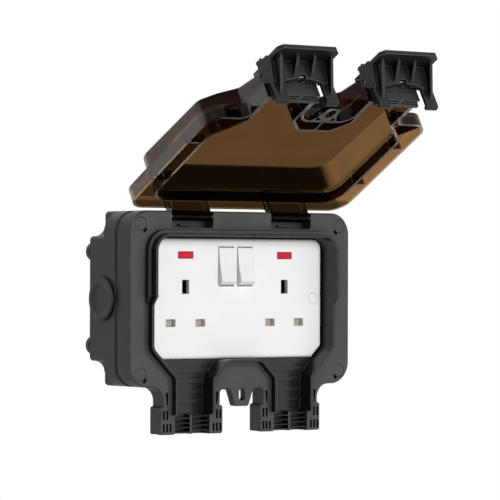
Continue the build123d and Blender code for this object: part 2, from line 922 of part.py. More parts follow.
# Finned rubber cable seals in the tower mouths
comb_width = funnel_width - 2 * comb_clearance
comb_height = funnel_end - tower_end - 2 * comb_clearance
comb_middle = (funnel_end + tower_end) / 2
for s, hand in sides:
    with BuildPart() as cable_seal:
        with BuildSketch(front(pocket_floor)):
            with Locations((s * socket_x, comb_middle)):
                Rectangle(comb_width, comb_height)
        extrude(amount=comb_base)
        with BuildSketch(front(pocket_floor)):
            with Locations((s * socket_x, comb_middle)):
                Rectangle(comb_post, comb_height)
                with GridLocations(0, comb_fin_pitch, 1, comb_fin_count):
                    Rectangle(comb_width, comb_fin)
        extrude(amount=pocket_depth - comb_recess)
    write(cable_seal.part, "cable_seal_" + hand)

# Four frame screws and the flush covers over their heads
with BuildPart() as frame_screws:
    with BuildSketch(front(box_front - screw_engagement)):
        with GridLocations(screw_span_x, screw_span_z, 2, 2):
            Circle(screw_shank / 2)
    extrude(amount=head_seat - box_front + screw_engagement)
    with BuildSketch(front(head_seat)):
        with GridLocations(screw_span_x, screw_span_z, 2, 2):
            Circle(screw_head / 2)
    extrude(amount=screw_head_height)
    with BuildSketch(front(head_seat + screw_head_height)):
        with GridLocations(screw_span_x, screw_span_z, 2, 2):
            Rectangle(screw_head / 2, screw_head / 6)
            Rectangle(screw_head / 6, screw_head / 2)
    extrude(amount=-screw_head_height / 2, mode=Mode.SUBTRACT)
write(frame_screws.part, "frame_screws")
with BuildPart() as screw_covers:
    with BuildSketch(front(frame_face)):
        with GridLocations(screw_span_x, screw_span_z, 2, 2):
            Circle(cover_diameter / 2)
    extrude(amount=-cover_thickness)
write(screw_covers.part, "screw_covers")

# Hinge pins across the two pockets
for s, hand in sides:
    with BuildPart() as hinge_pin_rod:
        with BuildSketch(side(s * socket_x)):
            with Locations((hinge_depth, hinge_z)):
                Circle(hinge_pin / 2)
        extrude(amount=hinge_pocket_width / 2 + hinge_pin_hold, both=True)
    write(hinge_pin_rod.part, "hinge_pin_" + hand)

# Hollow of the lid under its sloping roof
with BuildPart() as lid_hollow:
    extrude(opening(frame_face, lid_inner), amount=roof_hinge_height)
    extrude(under_roof(lid_ceiling), amount=frame_width, both=True, mode=Mode.INTERSECT)

# Lid, drawn closed and then swung open
with BuildPart() as lid_closed:
    extrude(opening(lid_edge, lid_outer), amount=roof_hinge - lid_edge)
    extrude(under_roof(0), amount=frame_width, both=True, mode=Mode.INTERSECT)
    roof = lid_closed.faces().filter_by(lambda f: f.normal_at().Y < -0.5)
    walls = lid_closed.faces().filter_by(lambda f: abs(f.normal_at().Y) < 0.1)
    fillet(roof.edges() & walls.edges(), lid_dome_edge)
    with BuildSketch(front(lid_edge)):
        add(lid_outline(0, 0))
        add(lid_outline(0, lid_wall), mode=Mode.SUBTRACT)
    extrude(amount=lid_skirt_height)
    extrude(lid_outline(shoulder - lid_ceiling, 0), amount=lid_ceiling)
    with BuildSketch(front(lid_edge + lid_web_setback)):
        with Locations((0, lid_web_upper), (0, lid_web_lower)):
            Rectangle(2 * lid_half - lid_wall, lid_web)
        for s, _ in sides:
            with Locations((s * (lid_half - corner_web_inset_x), lid_bottom + corner_web_rise)):
                Rectangle(corner_web_length, lid_web, rotation=-45 * s)
        add(lid_outline(0, lid_wall / 2), mode=Mode.INTERSECT)
    extrude(amount=lid_skirt_height - lid_web_setback)
    with BuildSketch(front(lid_edge)):
        with Locations((0, (opening_bottom - lid_outer + lid_bottom) / 2)):
            Rectangle(lid_web, opening_bottom - lid_outer - lid_bottom)
    extrude(amount=lid_skirt_height)
    extrude(eye_outline(lid_edge), amount=eye_thickness)
    with BuildSketch(front(lid_edge)):
        for s, _ in sides:
            with Locations((s * socket_x, lid_end + collar_length / 2)):
                Rectangle(2 * tower_half, collar_length)
    extrude(amount=roof_latch + collar_proud - lid_edge)
    add(lid_hollow.part, mode=Mode.SUBTRACT)
    for s, _ in sides:
        with BuildSketch(side(s * socket_x)):
            with Locations(((hinge_depth + shoulder) / 2, hinge_z)):
                Rectangle(shoulder - hinge_depth, hinge_barrel)
        extrude(amount=hinge_arm_width / 2, both=True)
        hollow_back = hinge_depth + hinge_barrel / 2
        with BuildSketch(side(s * socket_x)):
            with Locations(((hollow_back + shoulder - lid_ceiling) / 2, hinge_z - arm_skin)):
                Rectangle(shoulder - lid_ceiling - hollow_back, hinge_barrel)
        extrude(amount=hinge_arm_width / 2 - arm_cheek, both=True, mode=Mode.SUBTRACT)
        with BuildSketch(side(s * socket_x)):
            with Locations((hinge_depth, hinge_z)):
                Circle(hinge_barrel / 2)
        extrude(amount=hinge_arm_width / 2, both=True)
        with BuildSketch(side(s * socket_x)):
            with Locations((hinge_depth, hinge_z)):
                Circle(hinge_pin / 2 + hinge_running_gap)
        extrude(amount=hinge_arm_width, both=True, mode=Mode.SUBTRACT)
        for t, _ in sides:
            with BuildSketch(side(s * socket_x + t * latch_lug_spread)):
                with Locations((latch_pin_depth, latch_pin_height)):
                    Circle(latch_lug_radius)
                lug_root = lid_end + lid_wall / 2
                with Locations((latch_pin_depth, (latch_pin_height + lug_root) / 2)):
                    Rectangle(2 * latch_lug_radius, lug_root - latch_pin_height)
                with Locations((latch_pin_depth, latch_pin_height)):
                    Circle(latch_pin / 2 + pin_seat_gap, mode=Mode.SUBTRACT)
            extrude(amount=latch_lug_width / 2, both=True)
        with BuildSketch(front(lid_edge)):
            with Locations((s * socket_x, lid_end)):
                Rectangle(lid_notch_width, 4 * lid_wall)
        extrude(amount=lid_notch_depth, mode=Mode.SUBTRACT)
with BuildPart() as lid:
    add(lid_closed.part.rotate(hinge_axis, lid_open_angle))
write(lid.part, "lid")

# Rubber combs on the lid's tower ends, the other halves of the cable seals
flap_back = frame_face + flap_face_gap
flap_reach = lid_end - flap_thickness - tower_end
for s, hand in sides:
    with BuildPart() as flap_closed:
        with BuildSketch(front(flap_back)):
            with Locations((s * socket_x, lid_end - flap_thickness / 2)):
                Rectangle(flap_width, flap_thickness)
        extrude(amount=flap_top)
        with BuildSketch(front(latch_pin_depth - latch_lug_radius - flap_lug_gap)):
            with Locations((s * socket_x, lid_end)):
                with GridLocations(2 * latch_lug_spread, 0, 2, 1):
                    Rectangle(latch_lug_width + 2 * flap_lug_gap, 4 * flap_thickness)
        extrude(amount=flap_top, mode=Mode.SUBTRACT)
        with BuildSketch(front(flap_back + flap_fin_height)):
            with Locations((s * socket_x, (tower_end + lid_end - flap_thickness) / 2)):
                Rectangle(flap_comb_width, flap_reach)
        extrude(amount=flap_base)
        with BuildSketch(front(flap_back)):
            with Locations((s * socket_x, (tower_end + lid_end - flap_thickness) / 2)):
                Rectangle(comb_post, flap_reach)
                with GridLocations(0, flap_fin_pitch, 1, flap_fin_count):
                    Rectangle(flap_comb_width, comb_fin)
        extrude(amount=flap_fin_height + flap_base)
    with BuildPart() as lid_flap:
        add(flap_closed.part.rotate(hinge_axis, lid_open_angle))
    write(lid_flap.part, "lid_flap_" + hand)


def latch_point(back, up):
    """Side point of a closed latch, measured from its pin towards the wall and upwards."""
    return (latch_pin_depth - back, latch_pin_height + up)


# Latches and their pins, drawn on the closed lid and swung open with it
for s, hand in sides:
    middle = s * socket_x
    with BuildPart() as latch_closed:
        with BuildSketch(side(middle)):
            with BuildLine():
                Polyline(
                    latch_point(-latch_base_front, -latch_base_low),
                    latch_point(latch_base_rear, -latch_base_high),
                    latch_point(latch_base_rear, -latch_base_high - latch_base_thickness),
                    latch_point(-latch_base_front, -latch_base_low - latch_base_thickness),
                    close=True,
                )
            make_face()
            with BuildLine():
                Polyline(
                    latch_point(-latch_grip_front, -latch_grip_top),
                    latch_point(-latch_grip_rear, -latch_grip_top),
                    latch_point(-latch_grip_rear, -latch_grip_end),
                    latch_point(-latch_grip_front, -latch_grip_end),
                    close=True,
                )
            make_face()
        extrude(amount=latch_width / 2, both=True)
        ends = latch_closed.edges().filter_by(Axis.Y).group_by(Axis.Z)[0]
        chamfer(ends, latch_grip_corner)
        arch_foot = latch_base_rear - latch_pin_depth
        with BuildSketch(Plane.XY.offset(latch_pin_height)):
            with BuildLine():
                ThreePointArc(
                    (middle - latch_arch_width / 2, arch_foot),
                    (middle, arch_foot - latch_arch_rise),
                    (middle + latch_arch_width / 2, arch_foot),
                )
                Line((middle + latch_arch_width / 2, arch_foot), (middle - latch_arch_width / 2, arch_foot))
            make_face()
            with Locations((middle, arch_foot)):
                Rectangle(latch_arch_notch, 4 * latch_arch_rise)
        extrude(amount=-2 * latch_base_low, mode=Mode.SUBTRACT)
        for t, _ in sides:
            with BuildSketch(side(middle + t * (latch_width - latch_cheek) / 2)) as cheek:
                with BuildLine():
                    Polyline(
                        latch_point(latch_base_rear, -latch_base_high - latch_base_thickness),
                        latch_point(latch_base_rear, -latch_base_high),
                        latch_point(latch_cheek_rear, latch_cheek_top),
                        latch_point(-latch_cheek_dip, latch_cheek_low),
                        latch_point(-latch_cheek_front, latch_cheek_low),
                        latch_point(-latch_cheek_front, -latch_base_low),
                        close=True,
                    )
                make_face()
                crown = cheek.vertices().group_by(Axis.Y)[-1]
                fillet(crown, latch_cheek_round)
                for i in range(2):
                    tooth_up = latch_tooth_first - i * latch_tooth_pitch
                    with Locations(latch_point(-latch_tooth_ahead, tooth_up)):
                        Rectangle(latch_tooth, latch_tooth, rotation=latch_tooth_turn)
                with Locations(latch_point(0, 0)):
                    Circle(latch_pin / 2 + hinge_running_gap, mode=Mode.SUBTRACT)
            extrude(amount=latch_cheek / 2, both=True)
            arm_low = -latch_arm_top - latch_arm_thickness
            with BuildSketch(side(middle + t * (latch_width - latch_foot_width) / 2)) as foot:
                with BuildLine():
                    Polyline(
                        latch_point(latch_base_rear - latch_lip, -latch_arm_top),
                        latch_point(latch_foot_rear - latch_lip, -latch_arm_top),
                        latch_point(latch_foot_rear - latch_lip, -latch_lip_top),
                        latch_point(latch_foot_rear, -latch_lip_top),
                        latch_point(latch_foot_rear, arm_low),
                        latch_point(latch_base_rear - latch_lip, arm_low),
                        close=True,
                    )
                make_face()
                heel = foot.vertices().group_by(Axis.X)[0]
                fillet(heel.sort_by(Axis.Y)[0], latch_foot_round)
            extrude(amount=latch_foot_width / 2, both=True)
            with BuildSketch(side(middle + t * 1.5 * latch_rib_pitch)):
                with BuildLine():
                    Polyline(
                        latch_point(-latch_grip_rear, -latch_base_low),
                        latch_point(-latch_grip_rear, -latch_rib_low),
                        latch_point(-latch_rib_tip, -latch_rib_low),
                        latch_point(latch_rib_rear, -latch_rib_rise),
                        latch_point(latch_rib_rear, arm_low),
                        latch_point(latch_base_rear, -latch_base_high - latch_rib_sink),
                        close=True,
                    )
                make_face()
            extrude(amount=latch_rib / 2, both=True)
            with BuildSketch(side(middle + t * latch_rib_pitch / 2)):
                with BuildLine():
                    Polyline(
                        latch_point(-latch_grip_rear, -latch_base_low),
                        latch_point(-latch_grip_rear, -latch_rib_low),
                        latch_point(-latch_rib_tip, -latch_rib_low),
                        latch_point(latch_base_rear - latch_arch_rise, -latch_base_low),
                        latch_point(latch_base_rear - latch_arch_rise, -latch_base_high - latch_rib_sink),
                        close=True,
                    )
                make_face()
            extrude(amount=latch_rib / 2, both=True)
    with BuildPart() as latch:
        add(latch_closed.part.rotate(hinge_axis, lid_open_angle))
    write(latch.part, "latch_" + hand)
    with BuildPart() as latch_pin_closed:
        with BuildSketch(side(middle)):
            with Locations(latch_point(0, 0)):
                Circle(latch_pin / 2)
        extrude(amount=latch_width / 2 - 1, both=True)
    with BuildPart() as latch_pin_rod:
        add(latch_pin_closed.part.rotate(hinge_axis, lid_open_angle))
    write(latch_pin_rod.part, "latch_pin_" + hand)

# Socket plate: hollow behind, with windows for the pins, rockers, neons and screws
with BuildPart() as socket_plate:
    extrude(plate_outline(plate_back, 0), amount=plate_thickness)
    fillet(socket_plate.faces().sort_by(Axis.Y)[0].edges(), plate_edge)
    extrude(plate_outline(plate_back, plate_skirt), amount=plate_thickness - plate_skin, mode=Mode.SUBTRACT)
    with BuildSketch(front(plate_back)):
        with GridLocations(module_screw_span, 0, 2, 1):
            Circle(pillar_diameter / 2)
    extrude(amount=plate_thickness - plate_skin)
    with BuildSketch(front(skin_back)):
        with Locations((0, rocker_row)):
            Rectangle(rocker_relief_width, rocker_relief_height)
    extrude(amount=rocker_relief_depth, mode=Mode.SUBTRACT)
    with BuildSketch(front(skin_back)):
        with Locations((0, rocker_row)):
            with GridLocations(rocker_pitch, 0, 2, 1):
                Rectangle(rocker_width + 2 * rocker_side_gap, rocker_window)
        with Locations((0, neon_row)):
            with GridLocations(outlet_pitch, 0, 2, 1):
                Rectangle(neon_width, neon_height)
        with Locations((0, earth_row)):
            with GridLocations(outlet_pitch, 0, 2, 1):
                Rectangle(earth_slot_width, earth_slot_height)
        with Locations((0, pin_row)):
            with GridLocations(outlet_pitch, 0, 2, 1):
                with GridLocations(pin_spread, 0, 2, 1):
                    Rectangle(pin_slot_width, pin_slot_height)
    extrude(amount=plate_skin, mode=Mode.SUBTRACT)
    with BuildSketch(front(module_head_seat)):
        with GridLocations(module_screw_span, 0, 2, 1):
            Circle(module_cap / 2 + module_cap_gap)
    extrude(amount=plate_front - module_head_seat, mode=Mode.SUBTRACT)
    with BuildSketch(front(plate_back)):
        with GridLocations(module_screw_span, 0, 2, 1):
            Circle(module_screw_hole / 2)
    extrude(amount=plate_thickness, mode=Mode.SUBTRACT)
    rail_offset = shutter_width / 2 + shutter_rail_gap
    for s, _ in sides:
        with BuildSketch(front(shutter_back - shutter_lip_gap - shutter_lip_thickness)):
            with Locations((s * outlet_x - s * (rail_offset + shutter_rail_width / 2), pin_row)):
                Rectangle(shutter_rail_width, 3 * shutter_height)
        extrude(amount=skin_back - shutter_back + shutter_lip_gap + shutter_lip_thickness)
        with BuildSketch(front(shutter_back - shutter_lip_gap - shutter_lip_thickness)):
            with Locations((s * outlet_x - s * (rail_offset - shutter_lip / 2), pin_row)):
                Rectangle(shutter_lip + 1, 3 * shutter_height)
        extrude(amount=shutter_lip_thickness)
write(socket_plate.part, "socket_plate")

# Moulded tub behind the plate
with BuildPart() as socket_body:
    with BuildSketch(front(body_back)):
        Rectangle(body_width, body_height)
    extrude(amount=body_depth)
    with BuildSketch(front(body_inside)):
        Rectangle(body_width - 2 * body_wall, body_height - 2 * body_wall)
    extrude(amount=body_depth, mode=Mode.SUBTRACT)
    with BuildSketch(front(body_inside)):
        with Locations((0, rocker_row)):
            Rectangle(pivot_post_width - 2 * rocker_side_gap, pivot_post_height)
            with GridLocations(2 * rocker_pitch + pivot_post_width, 0, 2, 1):
                Rectangle(pivot_post_width, pivot_post_height)
    extrude(amount=skin_back + rocker_relief_depth - pivot_post_top - body_inside)
    with BuildSketch(side(0)):
        with Locations((pivot_at, rocker_row)):
            Circle(pivot_diameter / 2 + pin_seat_gap)
    extrude(amount=pivot_length / 2, both=True, mode=Mode.SUBTRACT)
    with BuildSketch(front(body_back)):
        with Locations((0, neutral_row), (-terminal_pitch, earth_row), (terminal_pitch, live_row)):
            Circle(terminal_head / 2 + terminal_gap)
    extrude(amount=body_floor, mode=Mode.SUBTRACT)
    for s, _ in sides:
        with BuildSketch(front(shutter_back - shutter_lip_gap - shutter_lip_thickness)):
            with Locations((s * (body_width / 2 - body_wall - shutter_lip / 2), pin_row)):
                Rectangle(shutter_lip, 3 * shutter_height)
        extrude(amount=shutter_lip_thickness)
write(socket_body.part, "socket_body")

# Rocker switches on one steel pivot
rocker_face = pivot_depth + rocker_proud
for s, hand in sides:
    with BuildPart() as rocker_level:
        with BuildSketch(side(s * rocker_pitch / 2)):
            with Locations((pivot_at, rocker_row)):
                Circle(rocker_radius)
            with Locations((pivot_at + (rocker_face - rocker_back) / 2, rocker_row)):
                Rectangle(rocker_face + rocker_back, 2 * rocker_radius, mode=Mode.INTERSECT)
            with BuildLine():
                Polyline(
                    (pivot_at + rocker_face, rocker_row + rocker_radius),
                    (pivot_at + rocker_face - rocker_dish, rocker_row),
                    (pivot_at + rocker_face, rocker_row - rocker_radius),
                    close=True,
                )
            make_face(mode=Mode.SUBTRACT)
            with Locations((pivot_at, rocker_row)):
                Circle(rocker_hub)
                Circle(pivot_diameter / 2 + pivot_gap, mode=Mode.SUBTRACT)
        extrude(amount=rocker_width / 2, both=True)
    with BuildPart() as rocker:
        add(rocker_level.part.rotate(Axis((0, -pivot_at, rocker_row), (-1, 0, 0)), rocker_tilt))
    write(rocker.part, "rocker_" + hand)
with BuildPart() as rocker_pivot:
    with BuildSketch(side(0)):
        with Locations((pivot_at, rocker_row)):
            Circle(pivot_diameter / 2)
    extrude(amount=pivot_length / 2, both=True)
write(rocker_pivot.part, "rocker_pivot")

# Neon lenses and sliding shutters, one of each per outlet
for s, hand in sides:
    with BuildPart() as neon:
        with BuildSketch(front(skin_back - neon_flange_thickness)):
            with Locations((s * outlet_x, neon_row)):
                Rectangle(neon_width + 2 * neon_flange, neon_height + 2 * neon_flange)
        extrude(amount=neon_flange_thickness)
        with BuildSketch(front(skin_back)):
            with Locations((s * outlet_x, neon_row)):
                Rectangle(neon_width - 2 * neon_gap, neon_height - 2 * neon_gap)
        extrude(amount=plate_skin + neon_proud)
    write(neon.part, "neon_" + hand)
    with BuildPart() as shutter:
        arm_height = shutter_arm_top - pin_row
        with BuildSketch(front(shutter_back)):
            with Locations((s * outlet_x, pin_row)):
                Rectangle(shutter_width, shutter_height)
            with Locations((s * outlet_x, pin_row + arm_height / 2)):
                Rectangle(shutter_arm_width, arm_height)
        extrude(amount=shutter_thickness)
    write(shutter.part, "shutter_" + hand)

# Earth, neutral and live brass work on the floor of the module
with BuildPart() as earth_bar:
    add(strip(-outlet_x, outlet_x, earth_row, earth_row))
    add(contact(-outlet_x, earth_row, True))
    add(contact(outlet_x, earth_row, True))
    add(terminal(-terminal_pitch, earth_row))
    with BuildSketch(front(bar_back)):
        with Locations((-terminal_pitch, earth_row)):
            Circle(terminal_screw / 2 + pin_seat_gap)
    extrude(amount=terminal_size, mode=Mode.SUBTRACT)
write(earth_bar.part, "earth_bar")
neutral_left = -outlet_x - pin_spread / 2
neutral_right = outlet_x - pin_spread / 2
with BuildPart() as neutral_bar:
    add(strip(neutral_left, neutral_right, neutral_row, neutral_row))
    for x in (neutral_left, neutral_right):
        add(strip(x, x, neutral_row, pin_row))
        add(contact(x, pin_row, False))
    add(terminal(0, neutral_row))
    with BuildSketch(front(bar_back)):
        with Locations((0, neutral_row)):
            Circle(terminal_screw / 2 + pin_seat_gap)
    extrude(amount=terminal_size, mode=Mode.SUBTRACT)
write(neutral_bar.part, "neutral_bar")
for s, hand in sides:
    live_x = s * outlet_x + pin_spread / 2
    with BuildPart() as live_contact:
        add(contact(live_x, pin_row, False))
        add(strip(live_x, live_x, pin_row, pin_row))
    write(live_contact.part, "live_contact_" + hand)
with BuildPart() as live_feed:
    add(strip(-terminal_pitch, terminal_pitch, live_row, live_row))
    add(terminal(terminal_pitch, live_row))
    with BuildSketch(front(bar_back)):
        with Locations((terminal_pitch, live_row)):
            Circle(terminal_screw / 2 + pin_seat_gap)
    extrude(amount=terminal_size, mode=Mode.SUBTRACT)
write(live_feed.part, "live_feed")
with BuildPart() as terminal_screws:
    with BuildSketch(front(bar_back - terminal_head_height)):
        with Locations((0, neutral_row), (-terminal_pitch, earth_row), (terminal_pitch, live_row)):
            Circle(terminal_head / 2)
    extrude(amount=terminal_head_height)
    with BuildSketch(front(bar_back)):
        with Locations((0, neutral_row), (-terminal_pitch, earth_row), (terminal_pitch, live_row)):
            Circle(terminal_screw / 2)
    extrude(amount=terminal_screw_length)
write(terminal_screws.part, "terminal_screws")

# Two screws that hold the module to the box, with flush caps
with BuildPart() as module_screws:
    with BuildSketch(front(module_head_seat)):
        with GridLocations(module_screw_span, 0, 2, 1):
            Circle(module_screw_shank / 2)
    extrude(amount=-module_screw_length)
    with BuildSketch(front(module_head_seat)):
        with GridLocations(module_screw_span, 0, 2, 1):
            Circle(module_screw_head / 2)
    extrude(amount=module_screw_head_height)
write(module_screws.part, "module_screws")
with BuildPart() as module_caps:
    with BuildSketch(front(plate_front)):
        with GridLocations(module_screw_span, 0, 2, 1):
            Circle(module_cap / 2)
    extrude(amount=-module_cap_thickness)
write(module_caps.part, "module_caps")
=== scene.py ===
"""Looks of an outdoor weatherproof double socket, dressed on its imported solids."""

import json
import logging
import math
from dataclasses import dataclass, field
from enum import Enum
from typing import Dict, List, Optional, Sequence, Tuple, Union

import bmesh
import bpy
from mathutils import Matrix, Vector


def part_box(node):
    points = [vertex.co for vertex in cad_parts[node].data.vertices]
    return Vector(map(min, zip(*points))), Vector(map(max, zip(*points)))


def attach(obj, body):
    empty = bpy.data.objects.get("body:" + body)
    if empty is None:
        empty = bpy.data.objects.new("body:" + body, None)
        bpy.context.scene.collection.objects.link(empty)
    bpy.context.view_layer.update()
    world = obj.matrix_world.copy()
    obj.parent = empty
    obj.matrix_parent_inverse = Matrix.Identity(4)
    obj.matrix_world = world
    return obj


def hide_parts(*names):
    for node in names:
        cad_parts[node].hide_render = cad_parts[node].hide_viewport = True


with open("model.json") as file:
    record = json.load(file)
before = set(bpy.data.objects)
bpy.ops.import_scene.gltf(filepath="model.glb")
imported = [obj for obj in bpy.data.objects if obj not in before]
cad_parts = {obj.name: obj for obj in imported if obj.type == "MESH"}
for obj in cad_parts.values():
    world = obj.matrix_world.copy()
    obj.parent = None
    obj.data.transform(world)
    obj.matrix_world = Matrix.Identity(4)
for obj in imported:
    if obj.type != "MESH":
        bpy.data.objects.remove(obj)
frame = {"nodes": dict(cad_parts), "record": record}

LOG = logging.getLogger("weatherproof_socket")
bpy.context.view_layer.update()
HANDS = ("left", "right")
FLOAT = "NodeSocketFloat"
VECTOR = "NodeSocketVector"
WHITE = (1.0, 1.0, 1.0, 1.0)
QUARTER_TURN = math.radians(90.0)

Colour = Tuple[float, float, float]
Place = Tuple[float, float, float]
Limits = Tuple[float, float]
Socket = bpy.types.NodeSocket
Value = Union[bpy.types.NodeSocket, float, Sequence[float]]


class MouldTexture(Enum):
    """How the mould's surface was finished: grain scale per metre and bump distance in metres."""

    POLISHED = (900.0, 0.000004)
    SATIN = (1600.0, 0.000014)
    SPARK = (2100.0, 0.000040)


class NodeSheet:
    """A shader or geometry node tree with short calls to add nodes and links."""

    def __init__(self, tree: bpy.types.NodeTree) -> None:
        """Wrap a tree that is to be filled."""
        self.tree = tree

    def add(self, kind: str, inputs: Optional[Dict[Union[str, int], Value]] = None,
            **settings: object) -> bpy.types.Node:
        """Add a node, set its properties and feed its inputs.

        Args:
            kind: The node's type name.
            inputs: Sockets to link or values to set, by input name or place.
            settings: Properties of the node by name.

        Returns:
            The new node.
        """
        node = self.tree.nodes.new(kind)
        for key, value in settings.items():
            setattr(node, key, value)
        for key, value in (inputs or {}).items():
            self.feed(value, node.inputs[key])
        return node

    def feed(self, value: Value, target: Socket) -> None:
        """Link a socket to an input, or set the input's value.

        Args:
            value: The socket or the value.
            target: The input.
        """
        if isinstance(value, bpy.types.NodeSocket):
            self.tree.links.new(value, target)
        else:
            target.default_value = value

    def noise(self, vector: Socket, scale: Value, detail: float) -> Socket:
        """Give a noise from 0 to 1, read at a vector, with cells per metre and octaves."""
        inputs = {"Vector": vector, "Scale": scale, "Detail": detail}
        return self.add("ShaderNodeTexNoise", inputs).outputs["Fac"]

    def math(self, operation: str, a: Value, b: Value = 0.0) -> Socket:
        """Give the result of a math operation on one or two sockets or numbers."""
        return self.add("ShaderNodeMath", {0: a, 1: b}, operation=operation).outputs[0]

    def times(self, *values: Value) -> Socket:
        """Multiply two or more sockets or numbers.

        Args:
            values: What is multiplied.

        Returns:
            The product.
        """
        product = values[0]
        for value in values[1:]:
            product = self.math("MULTIPLY", product, value)
        return product

    def rest(self, mask: Socket) -> Socket:
        """Give what a mask leaves out."""
        return self.math("SUBTRACT", 1.0, mask)

    def dot(self, a: Value, b: Value) -> Socket:
        """Give the dot product of two vectors."""
        return self.add("ShaderNodeVectorMath", {0: a, 1: b}, operation="DOT_PRODUCT").outputs["Value"]

    def split(self, vector: Socket) -> bpy.types.NodeOutputs:
        """Give a vector's X, Y and Z sockets."""
        return self.add("ShaderNodeSeparateXYZ", {0: vector}).outputs

    def band(self, value: Socket, limits: Limits) -> Socket:
        """Give a soft mask of a value, 0 at the first limit and 1 at the second."""
        inputs = {"Value": value, "From Min": limits[0], "From Max": limits[1]}
        return self.add("ShaderNodeMapRange", inputs, interpolation_type="SMOOTHSTEP").outputs["Result"]

    def blend(self, share: Socket, mask: Socket) -> Socket:
        """Go from 1 at an empty mask to a share at a full one."""
        return self.math("ADD", 1.0, self.times(mask, self.math("SUBTRACT", share, 1.0)))

    def spread(self, value: Socket, low: float, high: float) -> Socket:
        """Stretch a value from 0..1 to low..high."""
        inputs = {"Value": value, "To Min": low, "To Max": high}
        return self.add("ShaderNodeMapRange", inputs).outputs["Result"]

    def tones(self, value: Socket, low: Colour, high: Colour, limits: Limits = (0.0, 1.0)) -> Socket:
        """Turn a value into a colour between two tones.

        Args:
            value: The value from 0 to 1.
            low: Tone at the first limit.
            high: Tone at the second limit.
            limits: Values where the two tones are reached.

        Returns:
            The colour.
        """
        node = self.add("ShaderNodeValToRGB", {"Fac": value})
        for place, tone in enumerate((low, high)):
            node.color_ramp.elements[place].position = limits[place]
            node.color_ramp.elements[place].color = (*tone, 1.0)
        return node.outputs["Color"]

    def mix(self, factor: Socket, a: Value, b: Value) -> Socket:
        """Mix two colours, with the factor as the share of the second."""
        inputs = {"Factor": factor, "A": a, "B": b}
        return self.add("ShaderNodeMix", inputs, data_type="RGBA").outputs["Result"]

    def dim(self, colour: Socket, share: Socket) -> Socket:
        """Scale a colour by a share."""
        inputs = {0: colour, "Scale": share}
        return self.add("ShaderNodeVectorMath", inputs, operation="SCALE").outputs["Vector"]


def scaled(colour: Colour, share: float) -> Colour:
    """Scale a colour, up to white."""
    return tuple(min(part * share, 1.0) for part in colour)


def start_material(name: str) -> Tuple[bpy.types.Material, NodeSheet, bpy.types.NodeInputs]:
    """Start a material.

    Args:
        name: Material name.

    Returns:
        The material, its sheet and its shader's inputs.
    """
    material = bpy.data.materials.new(name)
    material.use_nodes = True
    return material, NodeSheet(material.node_tree), material.node_tree.nodes["Principled BSDF"].inputs


class ShaderGroup:
    """A shader node group that is built once and placed in each material."""

    NAME = ""
    INPUTS: Dict[str, str] = {}
    OUTPUTS: Dict[str, str] = {}

    @classmethod
    def get(cls) -> bpy.types.NodeTree:
        """Give the group, building it on first use.

        Returns:
            The group.
        """
        if cls.NAME not in bpy.data.node_groups:
            tree = bpy.data.node_groups.new(cls.NAME, "ShaderNodeTree")
            for way, sockets in (("INPUT", cls.INPUTS), ("OUTPUT", cls.OUTPUTS)):
                for name, kind in sockets.items():
                    tree.interface.new_socket(name, in_out=way, socket_type=kind)
            sheet = NodeSheet(tree)
            cls.fill(sheet, sheet.add("NodeGroupInput").outputs, sheet.add("NodeGroupOutput").inputs)
        return bpy.data.node_groups[cls.NAME]

    @classmethod
    def fill(cls, sheet: NodeSheet, entry: bpy.types.NodeOutputs, leave: bpy.types.NodeInputs) -> None:
        """Lay out the group's nodes from its inputs to its outputs."""
        raise NotImplementedError


class MouldGroup(ShaderGroup):
    """Grain height, broad tone, scuffs, softened normals, and masks for a painted highlight on edges and
    painted shade in crevices of moulded surfaces.
    """

    NAME = "mould_surface"
    INPUTS = {"Vector": VECTOR, "Grain": FLOAT, "Edge Radius": FLOAT, "Reach": FLOAT}
    OUTPUTS = {"Height": FLOAT, "Tone": FLOAT, "Scuff": FLOAT, "Edge": FLOAT, "Open": FLOAT,
               "Soft Normal": VECTOR}
    GRAIN_DETAIL = 3.0
    TONE_SCALE = 45.0
    TONE_DETAIL = 4.0
    STREAK_SCALE = (260.0, 90.0, 1400.0)
    STREAK_TURN = (0.3, 0.5, 0.2)
    STREAK_DETAIL = 2.0
    STREAK_LEVEL = 0.7
    CREVICE_SAMPLES = 8
    EDGE_SAMPLES = 6
    EDGE_GAIN = 3.0

    @classmethod
    def fill(cls, sheet: NodeSheet, entry: bpy.types.NodeOutputs, leave: bpy.types.NodeInputs) -> None:
        """Lay out the group's nodes.

        Args:
            sheet: The group's sheet.
            entry: Sockets of the group's inputs.
            leave: Sockets of the group's outputs.
        """
        vector = entry["Vector"]
        sheet.feed(sheet.noise(vector, entry["Grain"], cls.GRAIN_DETAIL), leave["Height"])
        sheet.feed(sheet.noise(vector, cls.TONE_SCALE, cls.TONE_DETAIL), leave["Tone"])
        inputs = {"Vector": vector, "Rotation": cls.STREAK_TURN, "Scale": cls.STREAK_SCALE}
        stretched = sheet.add("ShaderNodeMapping", inputs).outputs["Vector"]
        streak = sheet.noise(stretched, 1.0, cls.STREAK_DETAIL)
        sheet.feed(sheet.math("GREATER_THAN", streak, cls.STREAK_LEVEL), leave["Scuff"])
        # Occlusion within the reach, which the finishes turn into painted shade in crevices.
        crevice = sheet.add("ShaderNodeAmbientOcclusion", {"Distance": entry["Reach"]},
                            samples=cls.CREVICE_SAMPLES)
        sheet.feed(crevice.outputs["AO"], leave["Open"])
        # Bevel normal: it softens the edges and marks them for a painted highlight.
        bevel = sheet.add("ShaderNodeBevel", {"Radius": entry["Edge Radius"]}, samples=cls.EDGE_SAMPLES)
        soft = bevel.outputs["Normal"]
        sheet.feed(soft, leave["Soft Normal"])
        bent = sheet.rest(sheet.dot(soft, sheet.add("ShaderNodeNewGeometry").outputs["Normal"]))
        sheet.feed(sheet.math("MINIMUM", sheet.times(bent, cls.EDGE_GAIN), 1.0), leave["Edge"])


